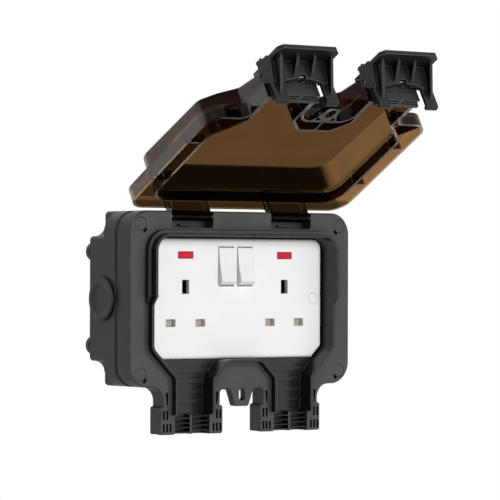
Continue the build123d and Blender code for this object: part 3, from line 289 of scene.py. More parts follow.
class SmokeGroup(ShaderGroup):
    """Painted light and shade on each of the lid's walls, where the lid has a coat, and where its lip
    carries a painted highlight.

    A place on the lid is measured in metres from the hinge axis: its height outwards, its length along
    the lid, which is negative towards the free end, and its distance aside from the lid's middle. Each
    pair of limits says where a mask is 0 and where it is 1.
    """

    NAME = "smoke_walls"
    WALLS = ("End", "Side", "Web", "Skirt", "Shoulder", "Rim", "Tower", "Hinge", "Nose")
    INPUTS = {"Vector": VECTOR, "Normal": VECTOR, **dict.fromkeys(WALLS, FLOAT)}
    OUTPUTS = dict.fromkeys(("Painted Light", "Outside", "Lip Highlight"), FLOAT)
    AXIS = (0.0, -0.0467, 0.0503)
    ALONG = (0.0, 0.866, -0.5)
    OUTWARD = (0.0, 0.5, 0.866)
    END_FACING = (0.35, 0.6)
    SIDE_FACING = (0.5, 0.85)
    STRAIGHT_FACING = (0.85, 0.96)
    FLAT_FACING = (0.6, 0.9)
    FLAT_HEIGHT = (0.024, 0.018)
    DOME_HEIGHT = (0.013, 0.017)
    RIM_ASIDE = (0.0738, 0.0752)
    SKIRT_ASIDE = (0.0772, 0.0785)
    TOWER_LENGTH = (0.098, 0.108)
    NOSE_LENGTH = (0.080, 0.088)
    END_WALL = 0.0092
    END_WALL_GAP = (0.002, 0.0015)
    ARM_ASIDE = 0.0375
    ARM_GAP = (0.0149, 0.0146)
    ARM_REACH = (0.022, 0.019)
    ARM_HEIGHT = (0.0125, 0.0115)
    KNUCKLE_REACH = (0.0125, 0.0105)
    KNUCKLE_SHARE = 0.72
    OBLIQUE_SHARE = 0.7
    OUTER_SIDE = (0.025, 0.04)
    DOME_DULL = 0.35
    NOSE_GLOSS = 0.18
    LIP_FACING = (-0.8, -0.95)
    LIP_HEIGHT = (0.010, 0.008)

    @classmethod
    def fill(cls, sheet: NodeSheet, entry: bpy.types.NodeOutputs, leave: bpy.types.NodeInputs) -> None:
        """Lay out the group's nodes.

        Args:
            sheet: The group's sheet.
            entry: Sockets of the group's inputs.
            leave: Sockets of the group's outputs.
        """
        normal_x = sheet.split(entry["Normal"])["X"]
        across = sheet.math("ABSOLUTE", normal_x)
        facing = sheet.dot(entry["Normal"], cls.OUTWARD)
        ends = sheet.band(sheet.math("ABSOLUTE", sheet.dot(entry["Normal"], cls.ALONG)), cls.END_FACING)
        inputs = {0: entry["Vector"], 1: cls.AXIS}
        offset = sheet.add("ShaderNodeVectorMath", inputs, operation="SUBTRACT").outputs["Vector"]
        height = sheet.dot(offset, cls.OUTWARD)
        length = sheet.dot(offset, cls.ALONG)
        free = sheet.times(length, -1.0)
        squares = sheet.math("ADD", sheet.times(height, height), sheet.times(length, length))
        reach = sheet.math("SQRT", squares)
        place_x = sheet.split(entry["Vector"])["X"]
        aside = sheet.math("ABSOLUTE", place_x)
        outer = sheet.band(aside, cls.RIM_ASIDE)
        far = sheet.band(aside, cls.SKIRT_ASIDE)
        flat = sheet.band(sheet.math("ABSOLUTE", facing), cls.FLAT_FACING)
        flat = sheet.times(flat, sheet.band(height, cls.FLAT_HEIGHT))
        tower = sheet.band(free, cls.TOWER_LENGTH)
        upper = sheet.band(height, cls.DOME_HEIGHT)
        turned = sheet.band(across, cls.SIDE_FACING)
        below = sheet.times(turned, sheet.rest(upper))
        arm = sheet.band(sheet.math("ABSOLUTE", sheet.math("SUBTRACT", aside, cls.ARM_ASIDE)), cls.ARM_GAP)
        arm = sheet.times(arm, sheet.band(reach, cls.ARM_REACH), sheet.band(height, cls.ARM_HEIGHT))
        knuckle = sheet.times(sheet.band(reach, cls.KNUCKLE_REACH), cls.KNUCKLE_SHARE)
        foot = sheet.band(sheet.math("ABSOLUTE", sheet.math("ADD", length, cls.END_WALL)), cls.END_WALL_GAP)
        foot = sheet.math("MAXIMUM", upper, foot)
        nose = sheet.times(ends, sheet.rest(upper), sheet.band(free, cls.NOSE_LENGTH))
        # Painted light and shade: each wall's mask scales the tint by that wall's share.
        masks = {
            "Nose": nose,
            "End": sheet.times(ends, foot, sheet.rest(sheet.times(turned, cls.OBLIQUE_SHARE))),
            "Side": sheet.times(turned, upper, sheet.rest(tower)),
            "Web": sheet.times(below, sheet.rest(far)),
            "Skirt": sheet.times(below, far),
            "Shoulder": sheet.times(flat, sheet.rest(outer)),
            "Rim": sheet.times(flat, outer),
            "Tower": tower,
            "Hinge": sheet.math("MAXIMUM", knuckle, arm),
        }
        share = 1.0
        for name, mask in masks.items():
            share = sheet.times(share, sheet.blend(entry[name], mask))
        sheet.feed(share, leave["Painted Light"])
        straight = sheet.band(across, cls.STRAIGHT_FACING)
        straight = sheet.times(straight, sheet.rest(sheet.times(upper, cls.DOME_DULL)))
        sides = sheet.times(sheet.band(sheet.times(normal_x, place_x), cls.OUTER_SIDE), straight)
        sheet.feed(sheet.math("MAXIMUM", sides, sheet.times(nose, cls.NOSE_GLOSS)), leave["Outside"])
        # Painted highlight on the lip's face, also used for its coat; the hinge arms are left out.
        lip = sheet.times(sheet.band(facing, cls.LIP_FACING), sheet.band(height, cls.LIP_HEIGHT))
        sheet.feed(sheet.times(lip, sheet.rest(arm)), leave["Lip Highlight"])


@dataclass(frozen=True)
class MouldedPlastic:
    """A moulded plastic finish.

    Attributes:
        name: Material name.
        colour: Linear base colour.
        roughness: Mean roughness.
        texture: Mould finish.
        edge_radius: Radius of the softened edges in metres.
        edge_lift: How much paler the edges are painted, as a painted highlight.
        edge_share: How far the edges take that painted highlight.
        variation: Share by which the tone wanders.
        tone_limits: Noise values at which the tone is deepest and palest.
        specular: Specular level.
        crevice: How dark the painted shade in the crevices gets, from 0 to 1.
        crevice_power: How fast that painted shade darkens as a crevice closes.
        reach: How far a crevice's shade reaches in metres.
        rough_swing: How far the roughness wanders.
        scuff: How much rougher the scuffs are.
    """

    name: str
    colour: Colour
    roughness: float
    texture: MouldTexture
    edge_radius: float = 0.0005
    edge_lift: float = 0.06
    edge_share: float = 0.6
    variation: float = 0.12
    tone_limits: Limits = (0.3, 0.7)
    specular: float = 0.5
    crevice: float = 0.85
    crevice_power: float = 1.5
    reach: float = 0.006
    rough_swing: float = 0.06
    scuff: float = 0.05

    def build(self) -> bpy.types.Material:
        """Make the material.

        Returns:
            The material.
        """
        material, sheet, shader = start_material(self.name)
        shader["Specular IOR Level"].default_value = self.specular
        grain, depth = self.texture.value
        surface = sheet.add("ShaderNodeGroup", {
            "Vector": sheet.add("ShaderNodeTexCoord").outputs["Object"], "Grain": grain,
            "Edge Radius": self.edge_radius, "Reach": self.reach,
        }, node_tree=MouldGroup.get()).outputs
        low, high = (scaled(self.colour, 1.0 + swing) for swing in (-self.variation, self.variation))
        tone = sheet.tones(surface["Tone"], low, high, self.tone_limits)
        # Painted highlight: the edges are mixed towards a paler colour.
        pale = (*(min(part + self.edge_lift, 1.0) for part in self.colour), 1.0)
        edged = sheet.mix(sheet.times(surface["Edge"], self.edge_share), tone, pale)
        # Painted shade: the colour is darkened where crevices close in.
        closed = sheet.rest(sheet.math("POWER", surface["Open"], self.crevice_power))
        shaded = sheet.dim(edged, sheet.rest(sheet.times(closed, self.crevice)))
        sheet.feed(shaded, shader["Base Color"])
        rough = sheet.spread(surface["Tone"], self.roughness - self.rough_swing,
                             self.roughness + self.rough_swing)
        sheet.feed(sheet.math("ADD", rough, sheet.times(surface["Scuff"], self.scuff)), shader["Roughness"])
        bump = sheet.add("ShaderNodeBump", {"Strength": 1.0, "Distance": depth, "Height": surface["Height"],
                                            "Normal": surface["Soft Normal"]})
        sheet.feed(bump.outputs["Normal"], shader["Normal"])
        return material


@dataclass(frozen=True)
class SmokedPolycarbonate:
    """Clear plastic tinted smoky amber, with painted light and shade on its walls and a painted highlight on
    its edges and lip.

    Attributes:
        name: Material name.
        tint: Linear colour that one wall lets through.
        deeper: Share of the tint where it is deepest.
        paler: Share of the tint where it is palest.
        tone_limits: Noise values at which the tint is deepest and palest.
        roughness: Least roughness.
        rough_swing: How far the roughness rises.
        ior: Refractive index.
        grain: Grain scale per metre.
        edge: Linear colour of the painted highlight on the thin edges and the lip.
        edge_share: How far the edges and the lip take that painted highlight.
        edge_radius: Radius of the edges in metres.
        reach: How far a crevice's shade reaches in metres.
        end: Painted light and shade of the end walls, as a share of the roof's.
        side: Painted light and shade of the dome's side walls.
        web: Painted light and shade of the webs' side walls.
        skirt: Painted light and shade of the skirt's side walls.
        shoulder: Painted light and shade of the flat shoulder inside the lip.
        rim: Painted light and shade of the flat shoulder outside the lip.
        tower: Painted light and shade of the two towers at the free end.
        hinge: Painted light and shade of the hinge arms.
        nose: Painted light and shade of the skirt round the free end.
        gloss: Coat on the outer sides and the lip.
        gloss_roughness: Roughness of that coat.
    """

    name: str
    tint: Colour
    deeper: float = 0.9
    paler: float = 1.08
    tone_limits: Limits = (0.25, 0.75)
    roughness: float = 0.05
    rough_swing: float = 0.05
    ior: float = 1.15
    grain: float = 700.0
    edge: Colour = (0.50, 0.47, 0.44)
    edge_share: float = 0.9
    edge_radius: float = 0.0006
    reach: float = 0.004
    end: float = 0.05
    side: float = 1.6
    web: float = 0.55
    skirt: float = 2.4
    shoulder: float = 0.4
    rim: float = 1.8
    tower: float = 0.8
    hinge: float = 0.15
    nose: float = 0.5
    gloss: float = 1.0
    gloss_roughness: float = 0.08

    def build(self) -> bpy.types.Material:
        """Make the material.

        Returns:
            The material.
        """
        material, sheet, shader = start_material(self.name)
        shader["Transmission Weight"].default_value = 1.0
        shader["IOR"].default_value = self.ior
        shader["Coat Roughness"].default_value = self.gloss_roughness
        place = sheet.add("ShaderNodeTexCoord").outputs
        surface = sheet.add("ShaderNodeGroup", {
            "Vector": place["Object"], "Grain": self.grain, "Edge Radius": self.edge_radius,
            "Reach": self.reach,
        }, node_tree=MouldGroup.get()).outputs
        walls = sheet.add("ShaderNodeGroup", {
            "Vector": place["Object"], "Normal": place["Normal"],
            **{name: getattr(self, name.lower()) for name in SmokeGroup.WALLS},
        }, node_tree=SmokeGroup.get()).outputs
        low, high = (scaled(self.tint, share) for share in (self.deeper, self.paler))
        # Painted light and shade: the tint is scaled wall by wall.
        tone = sheet.dim(sheet.tones(surface["Tone"], low, high, self.tone_limits), walls["Painted Light"])
        # Painted highlight on the thin edges and the lip.
        pale = sheet.times(sheet.math("MAXIMUM", surface["Edge"], walls["Lip Highlight"]), self.edge_share)
        sheet.feed(sheet.mix(pale, tone, (*self.edge, 1.0)), shader["Base Color"])
        rough = sheet.spread(surface["Tone"], self.roughness, self.roughness + self.rough_swing)
        sheet.feed(rough, shader["Roughness"])
        coat = sheet.times(sheet.math("MAXIMUM", walls["Outside"], walls["Lip Highlight"]), self.gloss)
        sheet.feed(coat, shader["Coat Weight"])
        sheet.feed(sheet.add("ShaderNodeNewGeometry").outputs["True Normal"], shader["Normal"])
        return material


@dataclass(frozen=True)
class BareMetal:
    """Drawn or turned metal.

    Attributes:
        name: Material name.
        colour: Linear base colour.
        roughness: Mean roughness.
        rough_swing: How far the roughness wanders.
        deeper: Share of the colour in the drawn lines.
        lines: Scale of the drawn lines along X, Y and Z.
        line_detail: Octaves of their noise.
    """

    name: str
    colour: Colour
    roughness: float = 0.32
    rough_swing: float = 0.1
    deeper: float = 0.8
    lines: Place = (120.0, 3000.0, 3000.0)
    line_detail: float = 2.0

    def build(self) -> bpy.types.Material:
        """Make the material.

        Returns:
            The material.
        """
        material, sheet, shader = start_material(self.name)
        shader["Metallic"].default_value = 1.0
        place = sheet.add("ShaderNodeTexCoord").outputs["Object"]
        drawn = sheet.add("ShaderNodeMapping", {"Vector": place, "Scale": self.lines}).outputs["Vector"]
        line = sheet.noise(drawn, 1.0, self.line_detail)
        sheet.feed(sheet.tones(line, scaled(self.colour, self.deeper), self.colour), shader["Base Color"])
        rough = sheet.spread(line, self.roughness - self.rough_swing, self.roughness + self.rough_swing)
        sheet.feed(rough, shader["Roughness"])
        return material


@dataclass
class Finishes:
    """Every finish of the object, built once.

    Attributes:
        specs: The finish of each of the record's slots.
        made: The materials that are already built.
    """

    # In these finishes edge_lift sets a painted highlight on edges and crevice a painted shade in crevices.
    specs: Dict[str, object] = field(default_factory=lambda: {
        "enclosure": MouldedPlastic("charcoal_moulding", (0.050, 0.050, 0.052), 0.42, MouldTexture.SPARK,
                                    edge_radius=0.0007, edge_lift=0.1, specular=0.2, crevice=0.75),
        "cover": MouldedPlastic("charcoal_cover", (0.048, 0.048, 0.050), 0.42, MouldTexture.SATIN,
                                specular=0.2),
        "black": MouldedPlastic("black_bezel", (0.009, 0.0088, 0.0086), 0.27, MouldTexture.POLISHED,
                                edge_lift=0.1, edge_share=0.9, specular=0.3),
        "latch": MouldedPlastic("black_latch", (0.011, 0.011, 0.0115), 0.34, MouldTexture.POLISHED,
                                edge_radius=0.0009, edge_lift=0.13, edge_share=1.0, specular=0.2,
                                crevice=0.95),
        "rubber": MouldedPlastic("black_rubber", (0.022, 0.022, 0.022), 0.4, MouldTexture.POLISHED,
                                 edge_radius=0.0003, edge_lift=0.09, edge_share=0.8, specular=0.35),
        "white": MouldedPlastic("white_moulding", (0.80, 0.80, 0.80), 0.36, MouldTexture.SATIN,
                                edge_lift=0.0, variation=0.012, specular=0.3, crevice=0.12, reach=0.003),
        "inner": MouldedPlastic("ivory_tub", (0.62, 0.61, 0.57), 0.5, MouldTexture.SATIN, variation=0.04),
        "cream": MouldedPlastic("cream_shutter", (0.40, 0.36, 0.28), 0.42, MouldTexture.SATIN,
                                edge_lift=0.0, variation=0.05, crevice=0.2),
        "neon": MouldedPlastic("red_neon_lens", (0.58, 0.004, 0.035), 0.3, MouldTexture.POLISHED,
                               edge_lift=0.0, variation=0.15, specular=0.15, crevice=0.3),
        "smoked": SmokedPolycarbonate("smoked_lid", (0.112, 0.056, 0.021)),
        "brass": BareMetal("brass_strip", (0.20, 0.14, 0.06), 0.5),
        "steel": BareMetal("steel_pin", (0.60, 0.60, 0.62)),
    })
    made: Dict[str, bpy.types.Material] = field(default_factory=dict)

    def get(self, slot: str) -> bpy.types.Material:
        """Give a slot's material, making it on first use.

        Args:
            slot: The record's slot name.

        Returns:
            The material.
        """
        if slot not in self.made:
            self.made[slot] = self.specs[slot].build()
        return self.made[slot]


class PieceTree:
    """A Geometry Nodes tree that makes one piece and is turned to a plain mesh."""

    KINDS = {int: "NodeSocketInt", float: FLOAT}

    def __init__(self, name: str, sizes: Dict[str, Union[int, float]]) -> None:
        """Start a tree with named inputs.

        Args:
            name: Name of the tree and of its piece.
            sizes: Input values by name, whole numbers or lengths in metres.
        """
        self.name = name
        self.sizes = sizes
        self.tree = bpy.data.node_groups.new(name, "GeometryNodeTree")
        for way in ("INPUT", "OUTPUT"):
            self.tree.interface.new_socket("Geometry", in_out=way, socket_type="NodeSocketGeometry")
        for key, value in sizes.items():
            self.tree.interface.new_socket(key, in_out="INPUT", socket_type=self.KINDS[type(value)])
        self.sheet = NodeSheet(self.tree)
        self.size = self.sheet.add("NodeGroupInput").outputs
        self.leave = self.sheet.add("NodeGroupOutput").inputs
        self.shapes: List[Socket] = []

    def vector(self, x: Value, y: Value, z: Value) -> Socket:
        """Join three sockets or numbers to a vector."""
        return self.sheet.add("ShaderNodeCombineXYZ", {0: x, 1: y, 2: z}).outputs[0]

    def moved(self, shape: Socket, place: Value = (0.0, 0.0, 0.0), turn: Place = (0.0, 0.0, 0.0)) -> Socket:
        """Turn a shape about X, Y and Z by radians, then move it."""
        inputs = {"Geometry": shape, "Translation": place, "Rotation": turn}
        return self.sheet.add("GeometryNodeTransform", inputs).outputs["Geometry"]

    def block(self, size: Socket) -> Socket:
        """Add a block of given edge lengths about the middle."""
        return self.sheet.add("GeometryNodeMeshCube", {"Size": size}).outputs["Mesh"]

    def repeat(self, points: Socket, shape: Socket) -> Socket:
        """Set a copy of a shape on every point."""
        inputs = {"Points": points, "Instance": shape}
        return self.sheet.add("GeometryNodeInstanceOnPoints", inputs).outputs["Instances"]

    def sweep(self, path: Socket, width: Socket, height: Socket) -> Socket:
        """Draw a rectangle along a curve.

        Args:
            path: The curve.
            width: The rectangle's width across the curve.
            height: The rectangle's height.

        Returns:
            The swept shape.
        """
        inputs = {"Width": width, "Height": height}
        section = self.sheet.add("GeometryNodeCurvePrimitiveQuadrilateral", inputs).outputs["Curve"]
        inputs = {"Curve": path, "Profile Curve": section}
        return self.sheet.add("GeometryNodeCurveToMesh", inputs).outputs["Mesh"]

    def join(self, shapes: Sequence[Socket]) -> Socket:
        """Join several shapes to one.

        Args:
            shapes: What is joined.

        Returns:
            The joined shape.
        """
        node = self.sheet.add("GeometryNodeJoinGeometry")
        for shape in shapes:
            self.sheet.feed(shape, node.inputs["Geometry"])
        return node.outputs["Geometry"]

    def finish(self, material: bpy.types.Material, place: Vector) -> bpy.types.Object:
        """Join the shapes, run the tree and keep its mesh.

        Args:
            material: The piece's finish.
            place: Where its middle goes.

        Returns:
            The piece, at the origin, with a plain mesh.
        """
        real = self.sheet.add("GeometryNodeRealizeInstances", {"Geometry": self.join(self.shapes)})
        coat = self.sheet.add("GeometryNodeSetMaterial", {"Geometry": real.outputs["Geometry"],
                                                          "Material": material})
        self.sheet.feed(coat.outputs["Geometry"], self.leave["Geometry"])
        holder = bpy.data.objects.new(self.name + "_tree", bpy.data.meshes.new(self.name + "_tree"))
        bpy.context.scene.collection.objects.link(holder)
        modifier = holder.modifiers.new("tree", "NODES")
        modifier.node_group = self.tree
        for item in self.tree.interface.items_tree:
            if item.in_out == "INPUT" and item.name in self.sizes:
                modifier[item.identifier] = self.sizes[item.name]
        bpy.context.view_layer.update()
        graph = bpy.context.evaluated_depsgraph_get()
        mesh = bpy.data.meshes.new_from_object(holder.evaluated_get(graph))
        holder.modifiers.clear()
        bpy.data.objects.remove(holder)
        mesh.transform(Matrix.Translation(place))
        piece = bpy.data.objects.new(self.name, mesh)
        bpy.context.scene.collection.objects.link(piece)
        return piece


def corners(node: str) -> Tuple[Vector, Vector]:
    """Give the lowest and the highest corner of a node's box."""
    low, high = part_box(node)
    return Vector(low), Vector(high)


def soften(piece: bpy.types.Object, width: float, steps: int = 2, sharp: float = 40.0) -> None:
    """Round a piece's sharp edges.

    Args:
        piece: The piece.
        width: Bevel width in metres.
        steps: Steps across each bevel.
        sharp: Least angle of an edge that is rounded, in degrees.
    """
    bevel = piece.modifiers.new("soft_edges", "BEVEL")
    bevel.width = width
    bevel.segments = steps
    bevel.limit_method = "ANGLE"
    bevel.angle_limit = math.radians(sharp)


@dataclass
class CableSeals:
    """Rubber combs in the tower mouths that a cable is pressed between.

    Attributes:
        finishes: The object's finishes.
        fin_count: Fins on each half.
        fin_pitch: Distance from fin to fin.
        fin_root: Fin thickness at its root.
        fin_tip: Fin thickness at its tip, as a share of the root.
        stagger: How far the right half's fins are raised and the left half's lowered.
        base: Thickness of the back plate.
        post: Width of the middle post.
        edge: Width of the rounded edges.
    """

    finishes: Finishes
    fin_count: int = 4
    fin_pitch: float = 0.0028
    fin_root: float = 0.0010
    fin_tip: float = 0.45
    stagger: float = 0.0006
    base: float = 0.0020
    post: float = 0.0016
    edge: float = 0.00018

    def build(self, hand: str) -> bpy.types.Object:
        """Make one comb over its solid.

        Args:
            hand: Left or right.

        Returns:
            The comb.
        """
        low, high = corners("cable_seal_" + hand)
        room = high - low
        job = PieceTree("seal_comb_" + hand, {
            "Width": room.x, "Depth": room.y, "Height": room.z, "Fins": self.fin_count,
            "Pitch": self.fin_pitch, "Root": self.fin_root, "Tip": self.fin_tip,
            "Stagger": self.stagger, "Base": self.base, "Post": self.post,
        })
        sheet, size = job.sheet, job.size
        plate = job.block(job.vector(size["Width"], size["Base"], size["Height"]))
        back = sheet.times(sheet.math("SUBTRACT", size["Depth"], size["Base"]), 0.5)
        job.shapes.append(job.moved(plate, job.vector(0.0, back, 0.0)))
        job.shapes.append(job.block(job.vector(size["Post"], size["Depth"], size["Height"])))
        fin = job.block(job.vector(sheet.times(size["Width"], 0.5), size["Depth"], size["Root"]))
        where = sheet.split(sheet.add("GeometryNodeInputPosition").outputs["Position"])
        front = sheet.math("LESS_THAN", where["Y"], 0.0)
        slim = sheet.times(sheet.math("SUBTRACT", size["Tip"], 1.0), where["Z"])
        taper = sheet.add("GeometryNodeSetPosition", {
            "Geometry": fin, "Offset": job.vector(0.0, 0.0, sheet.times(front, slim)),
        })
        lowest = sheet.times(sheet.math("SUBTRACT", size["Fins"], 1.0), -0.5, size["Pitch"])
        quarter = sheet.times(size["Width"], 0.25)
        step = job.vector(0.0, 0.0, size["Pitch"])
        for side in (-1.0, 1.0):
            height = sheet.math("ADD", lowest, sheet.times(size["Stagger"], side))
            line = sheet.add("GeometryNodeMeshLine", {
                "Count": size["Fins"], "Start Location": job.vector(sheet.times(quarter, side), 0.0, height),
                "Offset": step,
            }, mode="OFFSET")
            job.shapes.append(job.repeat(line.outputs["Mesh"], taper.outputs["Geometry"]))
        piece = job.finish(self.finishes.get("rubber"), (low + high) / 2)
        soften(piece, self.edge)
        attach(piece, "enclosure")
        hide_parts("cable_seal_" + hand)
        LOG.info("made %s", piece.name)
        return piece


@dataclass
class ScrewCovers:
    """Four flush round covers over the frame's screws, each crowned by a chamfer.

    Attributes:
        finishes: The object's finishes.
        diameter: Cover diameter.
        crown: Height of the chamfer at the rim.
        sides: Facets round a cover.
    """

    finishes: Finishes
    diameter: float = 0.0082
    crown: float = 0.0003
    sides: int = 48

    def build(self) -> bpy.types.Object:
        """Make the covers over their solid.

        Returns:
            The covers.
        """
        low, high = corners("screw_covers")
        room = high - low
        job = PieceTree("screw_covers_made", {
            "Span X": room.x - self.diameter, "Span Z": room.z - self.diameter, "Radius": self.diameter / 2,
            "Thickness": room.y, "Crown": self.crown, "Sides": self.sides,
        })
        sheet, size = job.sheet, job.size
        straight = sheet.math("SUBTRACT", size["Thickness"], size["Crown"])
        body = sheet.add("GeometryNodeMeshCylinder", {
            "Vertices": size["Sides"], "Radius": size["Radius"], "Depth": straight,
        }, fill_type="NGON")
        top = sheet.add("GeometryNodeMeshCone", {
            "Vertices": size["Sides"], "Radius Top": sheet.math("SUBTRACT", size["Radius"], size["Crown"]),
            "Radius Bottom": size["Radius"], "Depth": size["Crown"],
        }, fill_type="NGON")
        crown = job.moved(top.outputs["Mesh"], job.vector(0.0, 0.0, sheet.times(straight, 0.5)))
        cover = job.join((body.outputs["Mesh"], crown))
        ahead = job.vector(0.0, sheet.times(size["Crown"], 0.5), 0.0)
        cover = job.moved(cover, ahead, (QUARTER_TURN, 0.0, 0.0))
        grid = sheet.add("GeometryNodeMeshGrid", {
            "Size X": size["Span X"], "Size Y": size["Span Z"], "Vertices X": 2, "Vertices Y": 2,
        })
        points = job.moved(grid.outputs["Mesh"], turn=(QUARTER_TURN, 0.0, 0.0))
        job.shapes.append(job.repeat(points, cover))
        piece = job.finish(self.finishes.get("cover"), (low + high) / 2)
        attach(piece, "enclosure")
        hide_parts("screw_covers")
        LOG.info("made %s", piece.name)
        return piece


@dataclass
class PlugSealShades:
    """Black rings between the side plugs and the box, partly a rubber seal and partly painted shade on the
    flanges' side walls.

    Attributes:
        finishes: The object's finishes.
        diameter: Diameter of the plug's flange.
        thickness: Radial room of a ring.
        height: Room of a ring above the box's side.
        fill: Shares of that room that a ring fills.
        sides: Steps round a ring.
        edge: Width of the rounded edges.
    """

    finishes: Finishes
    diameter: float = 0.026
    thickness: float = 0.0004
    height: float = 0.0016
    fill: Tuple[float, float] = (0.94, 0.98)
    sides: int = 72
    edge: float = 0.0001

    def build(self, hand: str) -> bpy.types.Object:
        """Make the ring of one plug.

        Args:
            hand: Left or right.

        Returns:
            The ring.
        """
        low, high = corners("side_plug_" + hand)
        box_low, box_high = corners("back_box")
        job = PieceTree("plug_seal_" + hand, {
            "Radius": (self.diameter + self.thickness) / 2, "Thickness": self.thickness * self.fill[0],
            "Height": self.height * self.fill[1], "Sides": self.sides,
        })
        size = job.size
        path = job.sheet.add("GeometryNodeCurvePrimitiveCircle", {
            "Resolution": size["Sides"], "Radius": size["Radius"],
        })
        ring = job.sweep(path.outputs["Curve"], size["Thickness"], size["Height"])
        job.shapes.append(job.moved(ring, turn=(0.0, QUARTER_TURN, 0.0)))
        middle = (low + high) / 2
        middle.x = box_high.x + self.height / 2 if hand == "right" else box_low.x - self.height / 2
        # The glossy black finish is partly a rubber seal's colour and partly painted shade on the flange's
        # side wall.
        piece = job.finish(self.finishes.get("black"), middle)
        soften(piece, self.edge)
        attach(piece, "enclosure")
        LOG.info("made %s", piece.name)
        return piece


@dataclass
class NeonGapShadows:
    """Thin dark rings in the gaps round the red lenses, a painted shadow where the gaps lie in shade.

    Attributes:
        finishes: The object's finishes.
        flange: How much wider the lens is behind the plate, on each side.
        width: Room of the ring, from the lens to its window.
        fill: Share of that room that the ring fills.
        depth: How far it goes into the plate.
        sink: How far its front lies behind the lens.
        corner: Corner radius of the ring's middle line.
        corner_steps: Steps round a corner.
    """

    finishes: Finishes
    flange: float = 0.0008
    width: float = 0.00045
    fill: float = 0.96
    depth: float = 0.0012
    sink: float = 0.0001
    corner: float = 0.0004
    corner_steps: int = 6

    def build(self, hand: str) -> bpy.types.Object:
        """Make the ring of one lens.

        Args:
            hand: Left or right.

        Returns:
            The ring.
        """
        low, high = corners("neon_" + hand)
        margin = 2 * (self.flange + self.width)
        job = PieceTree("neon_gasket_" + hand, {
            "Lens X": high.x - low.x - margin, "Lens Z": high.z - low.z - margin, "Ring": self.width,
            "Fill": self.fill, "Depth": self.depth, "Corner": self.corner, "Steps": self.corner_steps,
        })
        sheet, size = job.sheet, job.size
        path = sheet.add("GeometryNodeCurvePrimitiveQuadrilateral", {
            "Width": sheet.math("ADD", size["Lens X"], size["Ring"]),
            "Height": sheet.math("ADD", size["Lens Z"], size["Ring"]),
        })
        turn = sheet.add("GeometryNodeFilletCurve", {
            "Curve": path.outputs["Curve"], "Radius": size["Corner"], "Count": size["Steps"],
        }, mode="POLY")
        ring = job.sweep(turn.outputs["Curve"], sheet.times(size["Ring"], size["Fill"]), size["Depth"])
        job.shapes.append(job.moved(ring, turn=(QUARTER_TURN, 0.0, 0.0)))
        middle = (low + high) / 2
        middle.y = low.y + self.sink + self.depth / 2
        # The rubber finish makes the ring dark, a painted shadow in the lens's gap.
        piece = job.finish(self.finishes.get("rubber"), middle)
        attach(piece, "enclosure")
        LOG.info("made %s", piece.name)
        return piece


@dataclass
class SubAssembly:
    """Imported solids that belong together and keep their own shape.

    Attributes:
        finishes: The object's finishes.
        nodes: Node names, or the beginnings of several.
    """

    finishes: Finishes
    nodes: Tuple[str, ...] = ()

    def dress(self) -> List[str]:
        """Give every solid of this sub-assembly the finish of its slot.

        Returns:
            The names of the dressed solids.
        """
        starts = tuple(name for name in self.nodes if name.endswith("_"))
        dressed = []
        for row in frame["record"]["subparts"]:
            if row["node"] in self.nodes or row["node"].startswith(starts):
                solid = frame["nodes"][row["node"]]
                solid.data.materials.clear()
                solid.data.materials.append(self.finishes.get(row["material_slot"]))
                dressed.append(row["node"])
        LOG.info("%s: dressed %s", type(self).__name__, ", ".join(dressed))
        return dressed

    def build(self) -> None:
        """Make the pieces that stand in for solids or add to them."""


@dataclass
class Enclosure(SubAssembly):
    """Back box, front frame, seals, plugs and their screws."""

    nodes: Tuple[str, ...] = ("back_box", "box_gasket", "front_frame", "frame_screws", "inner_bezel",
                              "lid_seal", "side_plug_", "hinge_pin_", "screw_covers", "cable_seal_")

    def build(self) -> None:
        """Make the cable seals, the plugs' dark rings of seal and painted shade, and the screw covers."""
        seals = CableSeals(self.finishes)
        rings = PlugSealShades(self.finishes)
        for hand in HANDS:
            seals.build(hand)
            rings.build(hand)
        ScrewCovers(self.finishes).build()


@dataclass
class SocketModule(SubAssembly):
    """White plate, rockers, lenses and what lies behind them."""

    nodes: Tuple[str, ...] = ("socket_", "module_", "neon_", "rocker_", "shutter_", "live_", "neutral_",
                              "earth_", "terminal_", "panel_")

    def build(self) -> None:
        """Make the dark rings of painted shadow round the lenses."""
        gap_shadows = NeonGapShadows(self.finishes)
        for hand in HANDS:
            gap_shadows.build(hand)


@dataclass
class HingedLid(SubAssembly):
    """Smoked lid with its rubber combs."""

    nodes: Tuple[str, ...] = ("lid", "lid_flap_")


@dataclass
class Latches(SubAssembly):
    """The two black latches and their pins."""

    nodes: Tuple[str, ...] = ("latch_",)


@dataclass(frozen=True)
class SoftLamp:
    """A square soft lamp.

    Attributes:
        name: Lamp name.
        place: Position in metres.
        aim: Point it faces.
        size: Edge length in metres.
        power: Power in watts.
    """

    name: str
    place: Place
    aim: Place
    size: float
    power: float

    def build(self) -> None:
        """Add the lamp."""
        data = bpy.data.lights.new(self.name, "AREA")
        data.size = self.size
        data.energy = self.power
        lamp = bpy.data.objects.new(self.name, data)
        lamp.location = self.place
        lamp.rotation_mode = "QUATERNION"
        lamp.rotation_quaternion = (Vector(self.aim) - Vector(self.place)).to_track_quat("-Z", "Y")
        bpy.context.scene.collection.objects.link(lamp)


